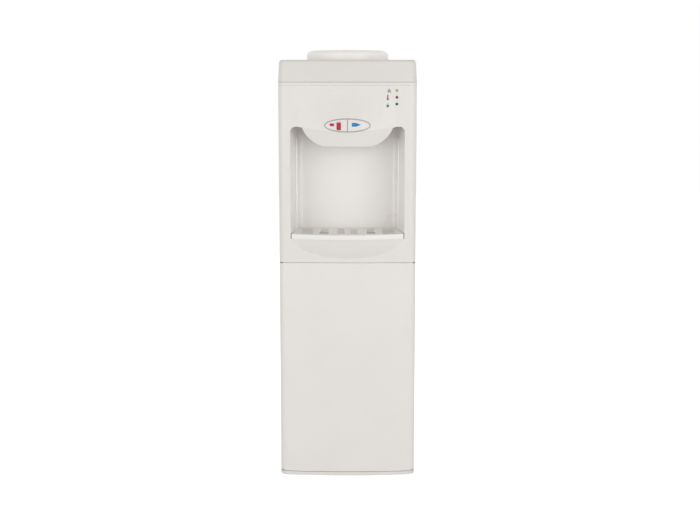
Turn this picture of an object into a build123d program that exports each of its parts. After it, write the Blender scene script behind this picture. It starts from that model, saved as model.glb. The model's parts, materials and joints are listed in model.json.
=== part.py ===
from build123d import *
from math import asin, cos, degrees, radians, sin, sqrt
import os

# Upright water cooler with a bottle seat on top, a dispensing bay in the middle
# and a storage cabinet with a hinged door below.
# Millimetres. +Z up, the front faces -Y, the floor is z = 0.

# ---- driving dimensions: the cabinet ----
FRONT_WIDTH = 332.0      # across the front corners
REAR_WIDTH = 358.0       # across the back panel, the side panels flare a little
BODY_DEPTH = 298.0       # front corners to back panel
CROWN = 10.0             # how far the middle of the front stands out
CORNER_R = 18.0          # upright front corners
WALL = 3.0               # moulded front panel and top cover
SHEET = 1.0              # painted steel panels
FLANGE = 11.0            # folds at the edges of the side panels
FRONT_RETURN = 30.0      # how far the front mouldings wrap round the sides

# ---- driving dimensions: heights, from the floor up ----
FOOT_HEIGHT = 2.0
BASE_HEIGHT = 8.0
BASE_RIM = 8.0           # thickness of the raised rim
BASE_FLOOR = 2.0
DOOR_GAP = 3.0
DOOR_HEIGHT = 522.5
CHIN_HEIGHT = 58.5       # front panel below the drip tray
LIP_HEIGHT = 12.0        # front band of the drip tray
BAY_HEIGHT = 258.5       # tray to ceiling of the dispensing bay
FASCIA_HEIGHT = 106.0    # bay ceiling to the top cover
COVER_HEIGHT = 52.5
COLLAR_HEIGHT = 24.0

# ---- driving dimensions: front panel and dispensing bay ----
BAY_HALF = 138.0         # half width of the bay mouth
BAY_DEPTH = 110.0
BAY_TAPER = 15.5         # the bay is this much narrower each side at the back
BAY_CORNER_R = 14.0
LINER = 2.0              # moulded liners
BROW_INSET = 18.5        # ends of the brow line inside the edges of the bay
BROW_DROP = 12.0         # how far the brow line sags in the middle
BROW_RISE = 18.0         # how far the brow stands out of the front
BROW_FADE = 97.0         # height over which the brow dies out upwards
CHIN_OVER = 0.5          # the chin reaches this far beyond the edges of the bay
CHIN_RISE = 18.0
CHIN_FALL = 62.0
SOFT_EDGE = 0.4          # raised surfaces start this far below the plain front
SEAM = 0.6
GROOVE = 1.2             # decorative line under the top cover
GROOVE_DROP = 7.0
COVER_TAPER = 2.5        # top cover draws in this much each side
COVER_EDGE_R = 8.0
COVER_STEPS = 6          # bands of the rounded edge

# ---- driving dimensions: tap cover, lens and buttons ----
APRON_HALF = 56.0        # half width of its flat lower edge
APRON_END = 9.5          # its upper ends inside the ends of the brow line
APRON_DROP = 35.0        # lower edge below the middle of the brow line
APRON_TUCK = 10.0        # how far its front leans back downwards
APRON_SET = 0.5          # its upper edge behind the brow
APRON_DEPTH = 82.0
APRON_WALL = 2.5
LENS_HALF = 53.5
LENS_HALF_HEIGHT = 14.5
LENS_LIFT = 16.0         # lens centre above the middle of the brow line
BEZEL = 2.0
BEZEL_PROUD = 1.0
BUTTON_GAP = 0.3
BUTTON_PROUD = 0.4
BUTTON_PLATE = 3.0
BUTTON_TRAVEL = 4.0
DIVIDER = 1.4
TAP_X = 30.0
STEM_R = 3.0
RUNNING_FIT = 0.05
LOCK_X = -20.8
LOCK_WIDTH = 9.6
LOCK_LENGTH = 18.0
LOCK_TRAVEL = 3.0
LOCK_CORNER_R = 2.5
LOCK_THICK = 2.2
LED_R = 3.2
LED_PROUD = 0.8
LED_NECK = 1.0           # lamp behind the fascia, up to its collar
LED_COLLAR = 2.0
LED_COLLAR_R = 4.4
BOARD_HALF = 12.0
BOARD_END = 10.0
BOARD_THICK = 1.6
LED_X = 118.0
LED_PITCH = 16.0
LED_BELOW_SEAM = 20.0
LOCK_DROP = 2.0          # lock centre below the lens centre
LOCK_SINK = 1.0          # recess of the lock in the hot button
STEM_HEAD_R = 4.0
TAP_SET = 15.0           # taps behind the front corners
NOZZLE_SET = 15.0        # nozzle behind the front of its tap
TAP_WALL = 2.0
TAP_LENGTH = 32.0
TAP_HALF = 10.0
TAP_EAR = 5.0
CHAMBER_R = 7.0
NOZZLE_R = 6.0
BARB_LENGTH = 12.0
BARB_FIT = 0.05
BARB_RISE = 2.5          # water tubes above the bay ceiling

# ---- driving dimensions: drip tray ----
LIP_REACH = 30.0         # the lip stands this far in front of the corners
TRAY_FLOOR = 30.0        # basin depth below the top of the lip
TRAY_WALL = 2.0
TRAY_CLEAR = 0.8
LIP_TUCK = 2.0           # ends of the lip in front of the corners
LIP_CORNER_R = 4.0
LIP_EDGE_R = 2.5
LIP_RIM = 5.0            # top of the lip round the grille
TRAY_SET = 4.0           # basin behind the front panel
GRILLE = 2.4
GRILLE_SKIN = 1.0        # inside its rim
GRILLE_RIM = 3.0
FINGER_LENGTH = 18.0     # two longer slots in the first row, to lift it by
SLOT_LENGTH = 11.0
SLOT_ROWS = 4
SLOT_COLUMNS = ((16.0, 20.0), (57.0, 22.0), (100.0, 32.0))  # place and width of the slots
FINGER_SLOT = (0, 1)     # row and column of the longer slots
SLOT_START = 2.0         # first row behind the front corners
SLOT_END = 24.0          # bay depth left without slots
SLOT_TAPER = 1.5         # each row is this much narrower
SLOT_R = 2.5

# ---- driving dimensions: bottle seat ----
COLLAR_R = 101.5
RIM_R = 80.0
RIM_WIDTH = 7.0
COLLAR_FOOT = 12.0        # upright part of the collar's skirt
COLLAR_CREST = 2.0       # rounding ends this far inside the rim
FUNNEL_RISE = 14.0       # funnel above the top cover
SEAT_STEP = 0.5          # the seat is this much narrower than the rim
THROAT_R = 31.0
FUNNEL_DEPTH = 52.0
THROAT_DEPTH = 50.0
SPIKE_R = 9.5
SPIKE_HEIGHT = 72.0
SPIKE_BORE_R = 6.5
SPIKE_CAP = 12.0         # solid tip
SPIKE_TIP_R = 5.7
WINDOW_DROP = 13.0       # window below the tip
WINDOW_HEIGHT = 9.0
WINDOW_HALF = 2.5
SPIKE_SLOT = 8.0
SPIKE_SLOT_HALF = 4.0
OUTLET_R = 8.0
OUTLET_IN = 11.0         # outlet in from the wall of the throat
SEAT_HOLE = 5.0          # hole in the cover round the funnel
FLANGE_CLEAR = 2.0       # seat flange inside the collar

# ---- driving dimensions: door and hinge ----
DOOR_DEPTH = 22.0
DOOR_WALL = 2.0
PIN_R = 3.0
PIN_IN = 9.0             # hinge axis in from the right front corner
PIN_BACK = 12.5          # hinge axis back from the front corners
PIN_LENGTH = 14.0
BRACKET = 2.0
BOSS_WALL = 3.0
BOSS_END = 4.0           # boss beyond the end of the pin
PIN_END_GAP = 1.0
BRACKET_REACH = 32.0     # bracket inwards from the pin
BRACKET_END = 6.0        # bracket outwards from the pin
BRACKET_FRONT = 9.0
BRACKET_R = 6.0
DOOR_FIELD = 8.0         # pressed field inside the gasket
MAGNET_WIDTH = 12.0
MAGNET_DEPTH = 18.0
MAGNET_HEIGHT = 40.0
MAGNET_RISE = 60.0       # above the step of the storage space
MAGNET_PROUD = 1.0
STRIKE_EDGE = 1.0
GASKET_WIDTH = 9.0
GASKET_CLEAR = 0.3
GASKET_OUT = 12.0        # gasket in from the ends of the door
GASKET_IN = 1.0          # gasket in from the hinge axis

# ---- driving dimensions: inside ----
CABINET_HALF = 145.0     # storage liner, half width outside
STORAGE_MARGIN = 8.0     # storage liner to the plinth and to the deck
MOTOR_BAY_DEPTH = 134.0  # compressor bay, back to front
MOTOR_BAY_TOP = 205.0
COLD_HEIGHT = 160.0
JACKET_GAP = 0.9         # cold tank jacket to the bay and to the back
TANK_WALL = 1.0
COIL_THICK = 5.0
COLD_FOAM = 15.5
HOT_R = 40.0
HOT_HEIGHT = 140.0
HOT_X = -95.0
HOT_FOAM = 12.0
SHELF_SPACE = 25.0       # hot tank jacket to the shelf
BAND_RISE = 25.0
COIL_RISE = 10.0
JACKET_RISE = 4.0        # foam above the cold tank
JACKET_ROOM = 4.0        # inside the hot tank jacket
DISC_R = 8.0             # thermostats
DISC_THICK = 5.0
DISC_LEVELS = (82.0, 110.0)
BAND_HEIGHT = 35.0
BAND_THICK = 3.0
FIT = 0.3                # small gap between parts that are seated
COMPRESSOR_R = 58.0
COMPRESSOR_HEIGHT = 135.0
COMPRESSOR_X = 20.0
COMPRESSOR_SET = 73.0    # middle of the compressor to the back
MOUNT_R = 8.0
MOUNT_HEIGHT = 12.0
MOUNT_X = 50.0
MOUNT_Y = 32.0
MOTOR_PLATE = 3.0
PLATE_EDGE = 12.0        # foot plate beyond its mounts
DOME_R = 26.0
FOOT_R = 14.0
FOOT_INSET = 34.0
REAR_REACH = 30.0        # condenser behind the back panel
TUBE_R = 2.4
WIRE_R = 0.7
CONDENSER_CLEAR = 27.0   # beside the switch plate
CONDENSER_IN = 29.0      # in from the other rear corner
CONDENSER_LOW = 262.0
CONDENSER_PITCH = 46.0
CONDENSER_RUNS = 13
CONDENSER_TAIL = 60.0    # lower end of the tube below its first run
CONDENSER_BEND = 21.0
WIRE_TAIL = 8.0
WIRE_CLEAR = 0.02
CLIP = 3.0
WIRE_COUNT = 19
LINE_R = 3.0
DISCHARGE_R = 2.5
LINE_BEND = 9.0
CAPILLARY_BEND = 5.0
CAPILLARY_DROP = 15.0    # capillary loop below the drier
LINE_X = 112.0
LINE_PITCH = 9.0         # capillary beside the suction line
SUCTION_RISE = 20.0      # above the bottom of the cold tank
LINE_RISE = 60.0         # crossing above the bottom of the hot tank
PORT_Z = 91.0            # compressor ports
DRIER_IN = 16.0          # in from the rear corner
DRIER_R = 7.0
DRIER_LENGTH = 80.0
DRIER_DROP = 60.0        # foot of the drier below the compressor bay top
CAPILLARY_R = 1.2
DRAIN_R = 5.0
DRAIN_BORE_R = 3.5
DRAIN_REACH = 16.0       # drain behind the back panel
CAP_GAP = 4.0            # cap to the back panel
CAP_WALL = 3.0
WATER_TUBE_R = 5.5
WATER_BORE_R = 4.0
SWITCH_IN = 49.0         # middle of the plate in from the rear corner
SWITCH_PITCH = 34.0
SWITCH_DROP = 26.0       # plate centre below the bay ceiling
SWITCH_RISE = 26.0       # upper switch above the plate centre
PLATE_HALF = 28.0
PLATE_UP = 52.0
PLATE_DOWN = 68.0
PLATE_THICK = 2.5
PLATE_R = 4.0
PLATE_LAND = 5.0         # plate beyond the box behind it
PLATE_BOX = 22.0         # depth of that box
PLATE_ROOM = 1.0         # box to the window in the back panel
ROCKER_TILT = 8.0
ROCKER_HALF = 9.0
ROCKER_HEIGHT = 10.0     # half height
ROCKER_FRONT = 3.5
ROCKER_WAIST = 1.0
ROCKER_BACK = 4.0
ROCKER_WELL = 8.0        # depth of the well
ROCKER_SET = 1.0         # pivot behind the face of the plate
ROCKER_GAP = 0.5         # each side
ROCKER_ROOM = 2.0        # above and below
PIVOT_R = 1.5
PIVOT_HALF = 11.5
PIVOT_END = 0.5
INLET_DROP = 44.0        # inlet below the plate centre
INLET_HALF_WIDTH = 13.5
INLET_HALF_HEIGHT = 10.0
INLET_WALL = 2.0
INLET_LAND = 5.0
INLET_FLANGE = 2.0
INLET_DEPTH = 19.5
INLET_FLOOR = 3.5
INLET_FIT = 0.5          # behind the inlet
INLET_INSET = 1.0        # socket inside the shell
BLADES = ((-7.0, -2.0), (0.0, 2.0), (7.0, -2.0))
BLADE_HALF = 1.0
BLADE_HEIGHT = 2.5       # half height
BLADE_SET = 1.0          # blade tips inside the back panel
SCREW_R = 3.5
SCREW_HEAD = 1.8
SCREW_EDGE_R = 1.0
SCREW_ROWS = 6
SCREW_IN = 8.0           # in from the rear corners
SCREW_END = 15.0

# ---- places worked out from the sizes above ----
FRONT_Y = -BODY_DEPTH / 2
BACK_Y = BODY_DEPTH / 2
FRONT_HALF = FRONT_WIDTH / 2
REAR_HALF = REAR_WIDTH / 2
CROWN_R = (FRONT_HALF ** 2 + CROWN ** 2) / (2 * CROWN)
FACE_Y = FRONT_Y + FRONT_RETURN
BASE_TOP = FOOT_HEIGHT + BASE_HEIGHT
FLOOR_Z = FOOT_HEIGHT + BASE_FLOOR
DOOR_BOTTOM = BASE_TOP + DOOR_GAP
DOOR_TOP = DOOR_BOTTOM + DOOR_HEIGHT
DECK_Z = DOOR_TOP + DOOR_GAP
LIP_BOTTOM = DECK_Z + CHIN_HEIGHT
LIP_TOP = LIP_BOTTOM + LIP_HEIGHT
BAY_TOP = LIP_TOP + BAY_HEIGHT
SEAM_Z = BAY_TOP + FASCIA_HEIGHT
HEAD_TOP = SEAM_Z + COVER_HEIGHT
RIM_Z = HEAD_TOP + COLLAR_HEIGHT
BAY_BACK = FRONT_Y + BAY_DEPTH
BAY_REAR_HALF = BAY_HALF - BAY_TAPER
BROW_HALF = BAY_HALF - BROW_INSET
CHIN_HALF = BAY_HALF + CHIN_OVER
BROW_Z = BAY_TOP - BROW_DROP
BROW_R = (BROW_HALF ** 2 + BROW_DROP ** 2) / (2 * BROW_DROP)
APRON_Z = BROW_Z - APRON_DROP
LENS_Z = BROW_Z + LENS_LIFT
TRAY_Z = LIP_TOP - TRAY_FLOOR
LEDGE_Z = TRAY_Z - FIT
PIN_X = FRONT_HALF - PIN_IN
PIN_Y = FRONT_Y + PIN_BACK
DOOR_BACK = FRONT_Y + DOOR_DEPTH
MOTOR_BAY_FRONT = BACK_Y - MOTOR_BAY_DEPTH
DECK_TOP = DECK_Z + SHEET
SHELF_TOP = DECK_TOP + HOT_HEIGHT + 2 * HOT_FOAM + SHELF_SPACE
COLD_BOTTOM = SHELF_TOP + COLD_FOAM
COLD_TOP = COLD_BOTTOM + COLD_HEIGHT
HOT_BOTTOM = DECK_TOP + HOT_FOAM
HOT_TOP = HOT_BOTTOM + HOT_HEIGHT
FUNNEL_BOTTOM = HEAD_TOP + FUNNEL_RISE - FUNNEL_DEPTH
SEAT_BOTTOM = FUNNEL_BOTTOM - THROAT_DEPTH
COLD_ROOM = BACK_Y - 2 * SHEET - BAY_BACK - LINER
COLD_JACKET_R = COLD_ROOM / 2 - JACKET_GAP
COLD_R = COLD_JACKET_R - COLD_FOAM - COIL_THICK - 2 * FIT
COLD_Y = BAY_BACK + LINER + COLD_ROOM / 2
COMPRESSOR_Y = BACK_Y - COMPRESSOR_SET
TUBE_PLANE = BACK_Y + REAR_REACH - 2 * WIRE_R - TUBE_R
SWITCH_X = SWITCH_IN - REAR_HALF
CONDENSER_LEFT = SWITCH_X + PLATE_HALF + CONDENSER_CLEAR
CONDENSER_RIGHT = REAR_HALF - CONDENSER_IN
DRIER_X = REAR_HALF - DRIER_IN
SWITCH_Z = BAY_TOP - SWITCH_DROP
ROCKER_Y = BACK_Y + ROCKER_SET
DRAIN_X = HOT_X
DRAIN_Z = DECK_TOP + HOT_FOAM / 2
HOT_OUT_X = HOT_X - HOT_R * 0.55
LINE_Y = BACK_Y - 2 * SHEET - LINE_R - FIT
CAPILLARY_X = LINE_X + LINE_PITCH
STEM_FRONT = FRONT_Y - 0.5
TAP_FRONT = FRONT_Y + TAP_SET
TAP_NOZZLE_Y = TAP_FRONT + NOZZLE_SET
BARB_Z = BAY_TOP + LINER + WATER_TUBE_R + BARB_RISE
OUTLET_Y = THROAT_R - OUTLET_IN
SEAT_R = RIM_R - RIM_WIDTH - SEAT_STEP
SEAT_HOLE_R = SEAT_R + SEAT_HOLE
SEAT_FLANGE_R = COLLAR_R - WALL - FLANGE_CLEAR
DRIER_Y = BACK_Y + REAR_REACH - DRIER_R - FIT
DRIER_Z = MOTOR_BAY_TOP - DRIER_DROP
SUCTION_Z = COLD_BOTTOM + SUCTION_RISE
CAPILLARY_Z = SUCTION_Z + LINE_PITCH
INLET_Z = SWITCH_Z - INLET_DROP
FAR = 400.0              # beyond the whole cooler
ROUND = 0.5523           # makes a cubic curve follow a quarter of an ellipse


# ---- shared shapes ----
def block(x0, x1, y0, y1, z0, z1):
    """Box between two corners."""
    return Pos((x0 + x1) / 2, (y0 + y1) / 2, (z0 + z1) / 2) * Box(x1 - x0, y1 - y0, z1 - z0)


def upright(x, y, z0, z1, r):
    """Round bar along Z."""
    return Pos(x, y, (z0 + z1) / 2) * Cylinder(r, z1 - z0)


def lengthwise(x, z, y0, y1, r):
    """Round bar along Y."""
    return Pos(x, (y0 + y1) / 2, z) * Rot(90, 0, 0) * Cylinder(r, y1 - y0)


def crosswise(y, z, x0, x1, r):
    """Round bar along X."""
    return Pos((x0 + x1) / 2, y, z) * Rot(0, 90, 0) * Cylinder(r, x1 - x0)


def seen_from_front(face, y0, y1):
    """Prism of an outline drawn in X and Z, from y0 back to y1."""
    return extrude(Pos(0, y0, 0) * Rot(90, 0, 0) * face, amount=y1 - y0, dir=(0, 1, 0))


def pipe(points, radius, bend):
    """Bent tube, solid, along straight runs joined by arcs."""
    path = FilletPolyline(*points, radius=bend)
    section = Plane(origin=path @ 0, z_dir=path % 0) * Circle(radius)
    return sweep(section, path=path)


def half_width(y):
    """Half width of the flared cabinet at y."""
    return FRONT_HALF + (y - FRONT_Y) * (REAR_HALF - FRONT_HALF) / BODY_DEPTH


def crown_y(x):
    """Y of the bare front face at x."""
    return FRONT_Y - CROWN + CROWN_R - sqrt(CROWN_R ** 2 - x ** 2)


def plan(inset=0.0):
    """Plan outline of the cabinet, moved inwards by inset."""
    front = FRONT_Y + inset
    rear = BACK_Y - inset
    near = half_width(front) - inset
    far = half_width(rear) - inset
    bow = ThreePointArc((-near, front), (0, front - CROWN), (near, front))
    sides = Polyline((near, front), (far, rear), (-far, rear), (-near, front))
    face = make_face([*bow.edges(), *sides.edges()])
    corners = face.vertices().sort_by(Axis.Y)[:2]
    return fillet(corners, CORNER_R - inset)


def prism(inset, z0, z1):
    """Cabinet prism between two heights."""
    return extrude(Pos(0, 0, z0) * plan(inset), amount=z1 - z0)


def bay_plan(inset, front, rear):
    """Plan outline of the dispensing bay, narrower at the back."""
    lean = (BAY_HALF - BAY_REAR_HALF) / BAY_DEPTH
    near = BAY_HALF - lean * (front - FRONT_Y) - inset
    far = BAY_HALF - lean * (rear - FRONT_Y) - inset
    outline = Polyline((-near, front), (near, front), (far, rear), (-far, rear), close=True)
    face = make_face(outline.edges())
    corners = face.vertices().sort_by(Axis.Y)[-2:]
    return fillet(corners, BAY_CORNER_R - min(inset, 0))


def raised(rise, stations, heights, back):
    """Block whose front is the bare front face raised by rise(x, z)."""
    rows = [[(x, crown_y(x) - rise(x, z) + SOFT_EDGE, z) for z in heights(x)] for x in stations]
    front = Face.make_surface_from_array_of_points(rows)
    return Part() + Solid.extrude(front, Vector(0, back, 0))


def brow_z(x):
    """Height of the brow line at x."""
    return BROW_Z + BROW_R - sqrt(BROW_R ** 2 - x ** 2)


def brow_rise(x, z):
    """How far the brow stands out at x, z. It fades upwards and to both sides."""
    side = BROW_RISE * (1 - (x / (BROW_HALF - WALL)) ** 2)
    t = (z - brow_z(x)) / BROW_FADE
    return side * (1 - t * t * (3 - 2 * t)) if t > 0 else side


def brow_block():
    """The brow and all that lies behind it."""
    stations = [BROW_HALF * i / 6 for i in range(-6, 7)]
    steps = [-0.08, 0.0, 0.12, 0.25, 0.38, 0.5, 0.62, 0.75, 0.88, 1.0]
    back = BROW_RISE + CROWN + FRONT_RETURN + WALL
    return raised(brow_rise, stations, lambda x: [brow_z(x) + BROW_FADE * t for t in steps], back)


def chin_rise(x, z):
    """How far the chin stands out at x, z: a shallow dish, open at the tray."""
    return CHIN_RISE * (1 - (x / CHIN_HALF) ** 2 - ((LIP_TOP - z) / CHIN_FALL) ** 2)


def chin_block():
    """The chin and all that lies behind it."""
    stations = [CHIN_HALF * i / 6 for i in range(-6, 7)]
    levels = [DECK_Z + (LIP_TOP - DECK_Z) * i / 6 for i in range(7)]
    back = CHIN_RISE + CROWN + FRONT_RETURN + WALL
    return raised(chin_rise, stations, lambda x: levels, back)


def brow_opening(y0, y1):
    """The mouth of the bay, from the tray lip up to the brow line."""
    smile = ThreePointArc((-BROW_HALF, BAY_TOP), (0, BROW_Z), (BROW_HALF, BAY_TOP))
    rest = Polyline(
        (BROW_HALF, BAY_TOP),
        (BAY_HALF, BAY_TOP),
        (BAY_HALF, LIP_BOTTOM),
        (-BAY_HALF, LIP_BOTTOM),
        (-BAY_HALF, BAY_TOP),
        (-BROW_HALF, BAY_TOP),
    )
    face = make_face([*smile.edges(), *rest.edges()])
    corners = [v for v in face.vertices() if v.Y > BAY_TOP - 1 and abs(v.X) > BAY_HALF - 1]
    return seen_from_front(fillet(corners, (BAY_HALF - BROW_HALF) * 0.7), y0, y1)


def lens(grow):
    """Oval outline of the button panel."""
    return Pos(0, LENS_Z) * Ellipse(LENS_HALF + grow, LENS_HALF_HEIGHT + grow)


BROW = brow_block()


# ---- base ----
def base_tray():
    """Moulded plinth with a raised rim; it carries the whole cabinet."""
    return prism(0, FOOT_HEIGHT, BASE_TOP) - prism(BASE_RIM, FLOOR_Z, BASE_TOP)


def rubber_feet():
    """Four round feet under the plinth."""
    x = FRONT_HALF - FOOT_INSET
    y = BACK_Y - FOOT_INSET
    places = [(-x, -y), (-x, y), (x, -y), (x, y)]
    return Compound(children=[upright(px, py, 0, FOOT_HEIGHT, FOOT_R).solid() for px, py in places])


# ---- steel cabinet ----
def side_panel(side):
    """Painted steel side with a folded flange at the front and at the back."""
    skin = prism(0, BASE_TOP, SEAM_Z) - prism(SHEET, BASE_TOP, SEAM_Z)
    wall = skin & block(-FAR, FAR, FACE_Y, BACK_Y - SHEET, BASE_TOP, SEAM_Z)
    folds = prism(SHEET, BASE_TOP, SEAM_Z) - prism(SHEET + FLANGE, BASE_TOP, SEAM_Z)
    front = folds & block(-FAR, FAR, FACE_Y + LINER, FACE_Y + LINER + SHEET, BASE_TOP, SEAM_Z)
    band = prism(SHEET, BASE_TOP, SEAM_Z) & block(-FAR, FAR, BACK_Y - 2 * SHEET, BACK_Y - SHEET, 0, SEAM_Z)
    rear = band - block(-REAR_HALF + FLANGE, REAR_HALF - FLANGE, 0, FAR, 0, SEAM_Z)
    limit = FRONT_HALF - 2 * FLANGE
    half = block(min(0, side * FAR), max(0, side * FAR), -FAR, FAR, 0, SEAM_Z)
    return ((wall + front + rear) - block(-limit, limit, -FAR, FAR, 0, SEAM_Z)) & half


def back_panel():
    """Painted steel back, open below for the compressor."""
    sheet = prism(0, MOTOR_BAY_TOP, SEAM_Z) & block(-FAR, FAR, BACK_Y - SHEET, BACK_Y, 0, SEAM_Z)
    land = PLATE_LAND - PLATE_ROOM
    half = PLATE_HALF - land
    low = SWITCH_Z - PLATE_DOWN + land
    window = block(SWITCH_X - half, SWITCH_X + half, 0, FAR, low, SWITCH_Z + PLATE_UP - land)
    drain = lengthwise(DRAIN_X, DRAIN_Z, 0, FAR, DRAIN_R + FIT)
    return sheet - window - drain


def mid_deck():
    """Steel deck between the storage cabinet and the working parts."""
    deck = prism(WALL, DECK_Z, DECK_TOP) & block(-FAR, FAR, -FAR, BACK_Y - 2 * SHEET, 0, FAR * 2)
    suction = upright(LINE_X, LINE_Y, DECK_Z, DECK_TOP, LINE_R + FIT)
    capillary = upright(CAPILLARY_X, LINE_Y, DECK_Z, DECK_TOP, CAPILLARY_R + FIT)
    inside = half_width(FACE_Y) - SHEET - FLANGE - FIT
    front = FACE_Y + LINER - FIT
    notches = block(-FAR, FAR, front, front + SHEET + 2 * FIT, DECK_Z, DECK_TOP)
    notches -= block(-inside, inside, -FAR, FAR, DECK_Z, DECK_TOP)
    return deck - suction - capillary - notches


def tank_shelf():
    """Folded steel shelf that carries the cold tank above the hot one."""
    shelf = prism(SHEET, SHELF_TOP - SHEET, SHELF_TOP)
    front = BAY_BACK + LINER + FIT
    shelf = shelf & block(-FAR, FAR, front, BACK_Y - 2 * SHEET, 0, FAR * 2)
    hot = upright(HOT_OUT_X, COLD_Y, SHELF_TOP - SHEET, SHELF_TOP, WATER_TUBE_R + FIT)
    suction = upright(LINE_X, COLD_Y, SHELF_TOP - SHEET, SHELF_TOP, LINE_R + FIT)
    capillary = upright(CAPILLARY_X, COLD_Y, SHELF_TOP - SHEET, SHELF_TOP, CAPILLARY_R + FIT)
    return shelf - hot - suction - capillary


# ---- storage cabinet ----
def liner_solid(inset):
    """Storage space with a step at the back over the compressor bay."""
    low = BASE_TOP + STORAGE_MARGIN + inset
    top = DECK_Z - STORAGE_MARGIN - inset
    mouth = FACE_Y - (FAR if inset else 0)
    step = MOTOR_BAY_FRONT - inset
    rear = BACK_Y - 4 * SHEET - 2 * LINE_R - inset
    shoulder = MOTOR_BAY_TOP + inset
    points = [(mouth, low), (step, low), (step, shoulder), (rear, shoulder), (rear, top), (mouth, top)]
    half = CABINET_HALF - inset
    face = make_face(Polyline(*points, close=True).edges())
    return extrude(Plane.YZ.offset(-half) * face, amount=2 * half, dir=(1, 0, 0))


def cabinet_liner():
    """White moulded liner of the storage cabinet, with its front flange."""
    flange = prism(SHEET, BASE_TOP, DOOR_TOP) & block(-FAR, FAR, FACE_Y, FACE_Y + LINER, 0, DECK_Z)
    return (liner_solid(0) + flange) - liner_solid(LINER)


# ---- front of the head ----
def front_panel():
    """Moulded front: fascia with its brow, two stiles and the bulging chin."""
    top = SEAM_Z - SEAM
    chin = chin_block()
    outer = prism(0, DECK_Z, top) + BROW + chin
    inner = prism(WALL, DECK_Z, top) + Pos(0, WALL, 0) * BROW + Pos(0, WALL, 0) * chin
    shell = (outer - inner) & block(-FAR, FAR, -FAR, FACE_Y, DECK_Z, top)
    shell -= brow_opening(-FAR, FACE_Y)
    groove_z = SEAM_Z - GROOVE_DROP
    shell -= prism(0, groove_z - GROOVE, groove_z) - prism(GROOVE / 2, groove_z - GROOVE, groove_z)
    shell -= seen_from_front(lens(BEZEL / 2), -FAR, FACE_Y)
    for z in led_levels():
        shell -= lengthwise(LED_X, z, -FAR, FACE_Y, LED_R + RUNNING_FIT)
    return shell


def led_levels():
    """Heights of the three indicator lamps, from the top down."""
    return [SEAM_Z - LED_BELOW_SEAM - i * LED_PITCH for i in range(3)]


def indicator(z):
    """Round lamp lens with a collar behind the fascia."""
    front = crown_y(LED_X)
    neck = front + WALL + LED_NECK
    lamp = lengthwise(LED_X, z, front - LED_PROUD, neck, LED_R)
    return lamp + lengthwise(LED_X, z, neck, neck + LED_COLLAR, LED_COLLAR_R)


def led_board():
    """Small circuit board behind the lamps."""
    front = crown_y(LED_X) + WALL + LED_NECK + LED_COLLAR
    levels = led_levels()
    low = levels[-1] - BOARD_END
    high = levels[0] + BOARD_END
    return block(LED_X - BOARD_HALF, LED_X + BOARD_HALF, front, front + BOARD_THICK, low, high)


def alcove_liner():
    """Moulded bay behind the front panel: floor, tapering sides, back and ceiling."""
    low = LEDGE_Z - LINER
    high = BAY_TOP + LINER
    outer = extrude(Pos(0, 0, low) * bay_plan(-LINER, FRONT_Y - CROWN, BAY_BACK + LINER), amount=high - low)
    inner = extrude(Pos(0, 0, LEDGE_Z) * bay_plan(0, FRONT_Y - CROWN, BAY_BACK), amount=BAY_TOP - LEDGE_Z)
    shell = (outer & prism(WALL, low, high)) - inner
    half = TAP_HALF + FIT
    rear = TAP_FRONT + TAP_LENGTH + FIT
    for x in (-TAP_X, TAP_X):
        shell -= block(x - half, x + half, TAP_FRONT - FIT, rear, BAY_TOP, high)
    return shell - block(-APRON_HALF, APRON_HALF, -FAR, TAP_FRONT - FIT, BAY_TOP, high)


def apron_outline(inset):
    """Smiling outline of the tap cover, below the brow line."""
    low = APRON_Z + inset
    foot = APRON_HALF - inset * 0.4
    end = BROW_HALF - APRON_END - inset * 1.4
    left = ThreePointArc((-end, BAY_TOP), (-(foot + end) / 2 - 6, (BAY_TOP + low) / 2 - 7), (-foot, low))
    right = ThreePointArc((foot, low), ((foot + end) / 2 + 6, (BAY_TOP + low) / 2 - 7), (end, BAY_TOP))
    lines = [*left.edges(), *Line((-foot, low), (foot, low)).edges(), *right.edges()]
    return make_face([*lines, *Line((end, BAY_TOP), (-end, BAY_TOP)).edges()])


def apron_rise(x, z):
    """How far the tap cover stands out: level with the brow line, then leaning back."""
    return brow_rise(x, brow_z(x)) - APRON_TUCK * (brow_z(x) - z) / APRON_DROP


def apron_block():
    """The front of the tap cover and all that lies behind it."""
    stations = [BROW_HALF * i / 6 for i in range(-6, 7)]
    levels = [BAY_TOP - (BAY_TOP - APRON_Z) * i / 4 for i in range(-1, 6)]
    return Pos(0, APRON_SET, 0) * raised(apron_rise, stations, lambda x: levels, APRON_DEPTH + FAR)


def tap_cover():
    """Hollow cover under the brow that hides the taps, open above."""
    rear = FRONT_Y + APRON_DEPTH
    solid = apron_block()
    outer = seen_from_front(apron_outline(0), -FAR, rear) & solid
    room = seen_from_front(apron_outline(APRON_WALL), -FAR, rear - APRON_WALL)
    room += Pos(0, 0, APRON_WALL) * room
    shell = outer - (room & Pos(0, APRON_WALL, 0) * solid)
    shell &= brow_opening(-FAR, FAR)
    for x in (-TAP_X, TAP_X):
        shell -= upright(x, TAP_NOZZLE_Y, APRON_Z - 1, APRON_Z + APRON_WALL + 1, NOZZLE_R + 3)
    return shell


# ---- buttons ----
def skin(outline, proud, thick):
    """Plate that follows the brow, cut to an outline seen from the front."""
    slab = (Pos(0, -proud, 0) * BROW) - (Pos(0, thick - proud, 0) * BROW)
    return seen_from_front(outline, -FAR, FACE_Y) & slab


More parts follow.
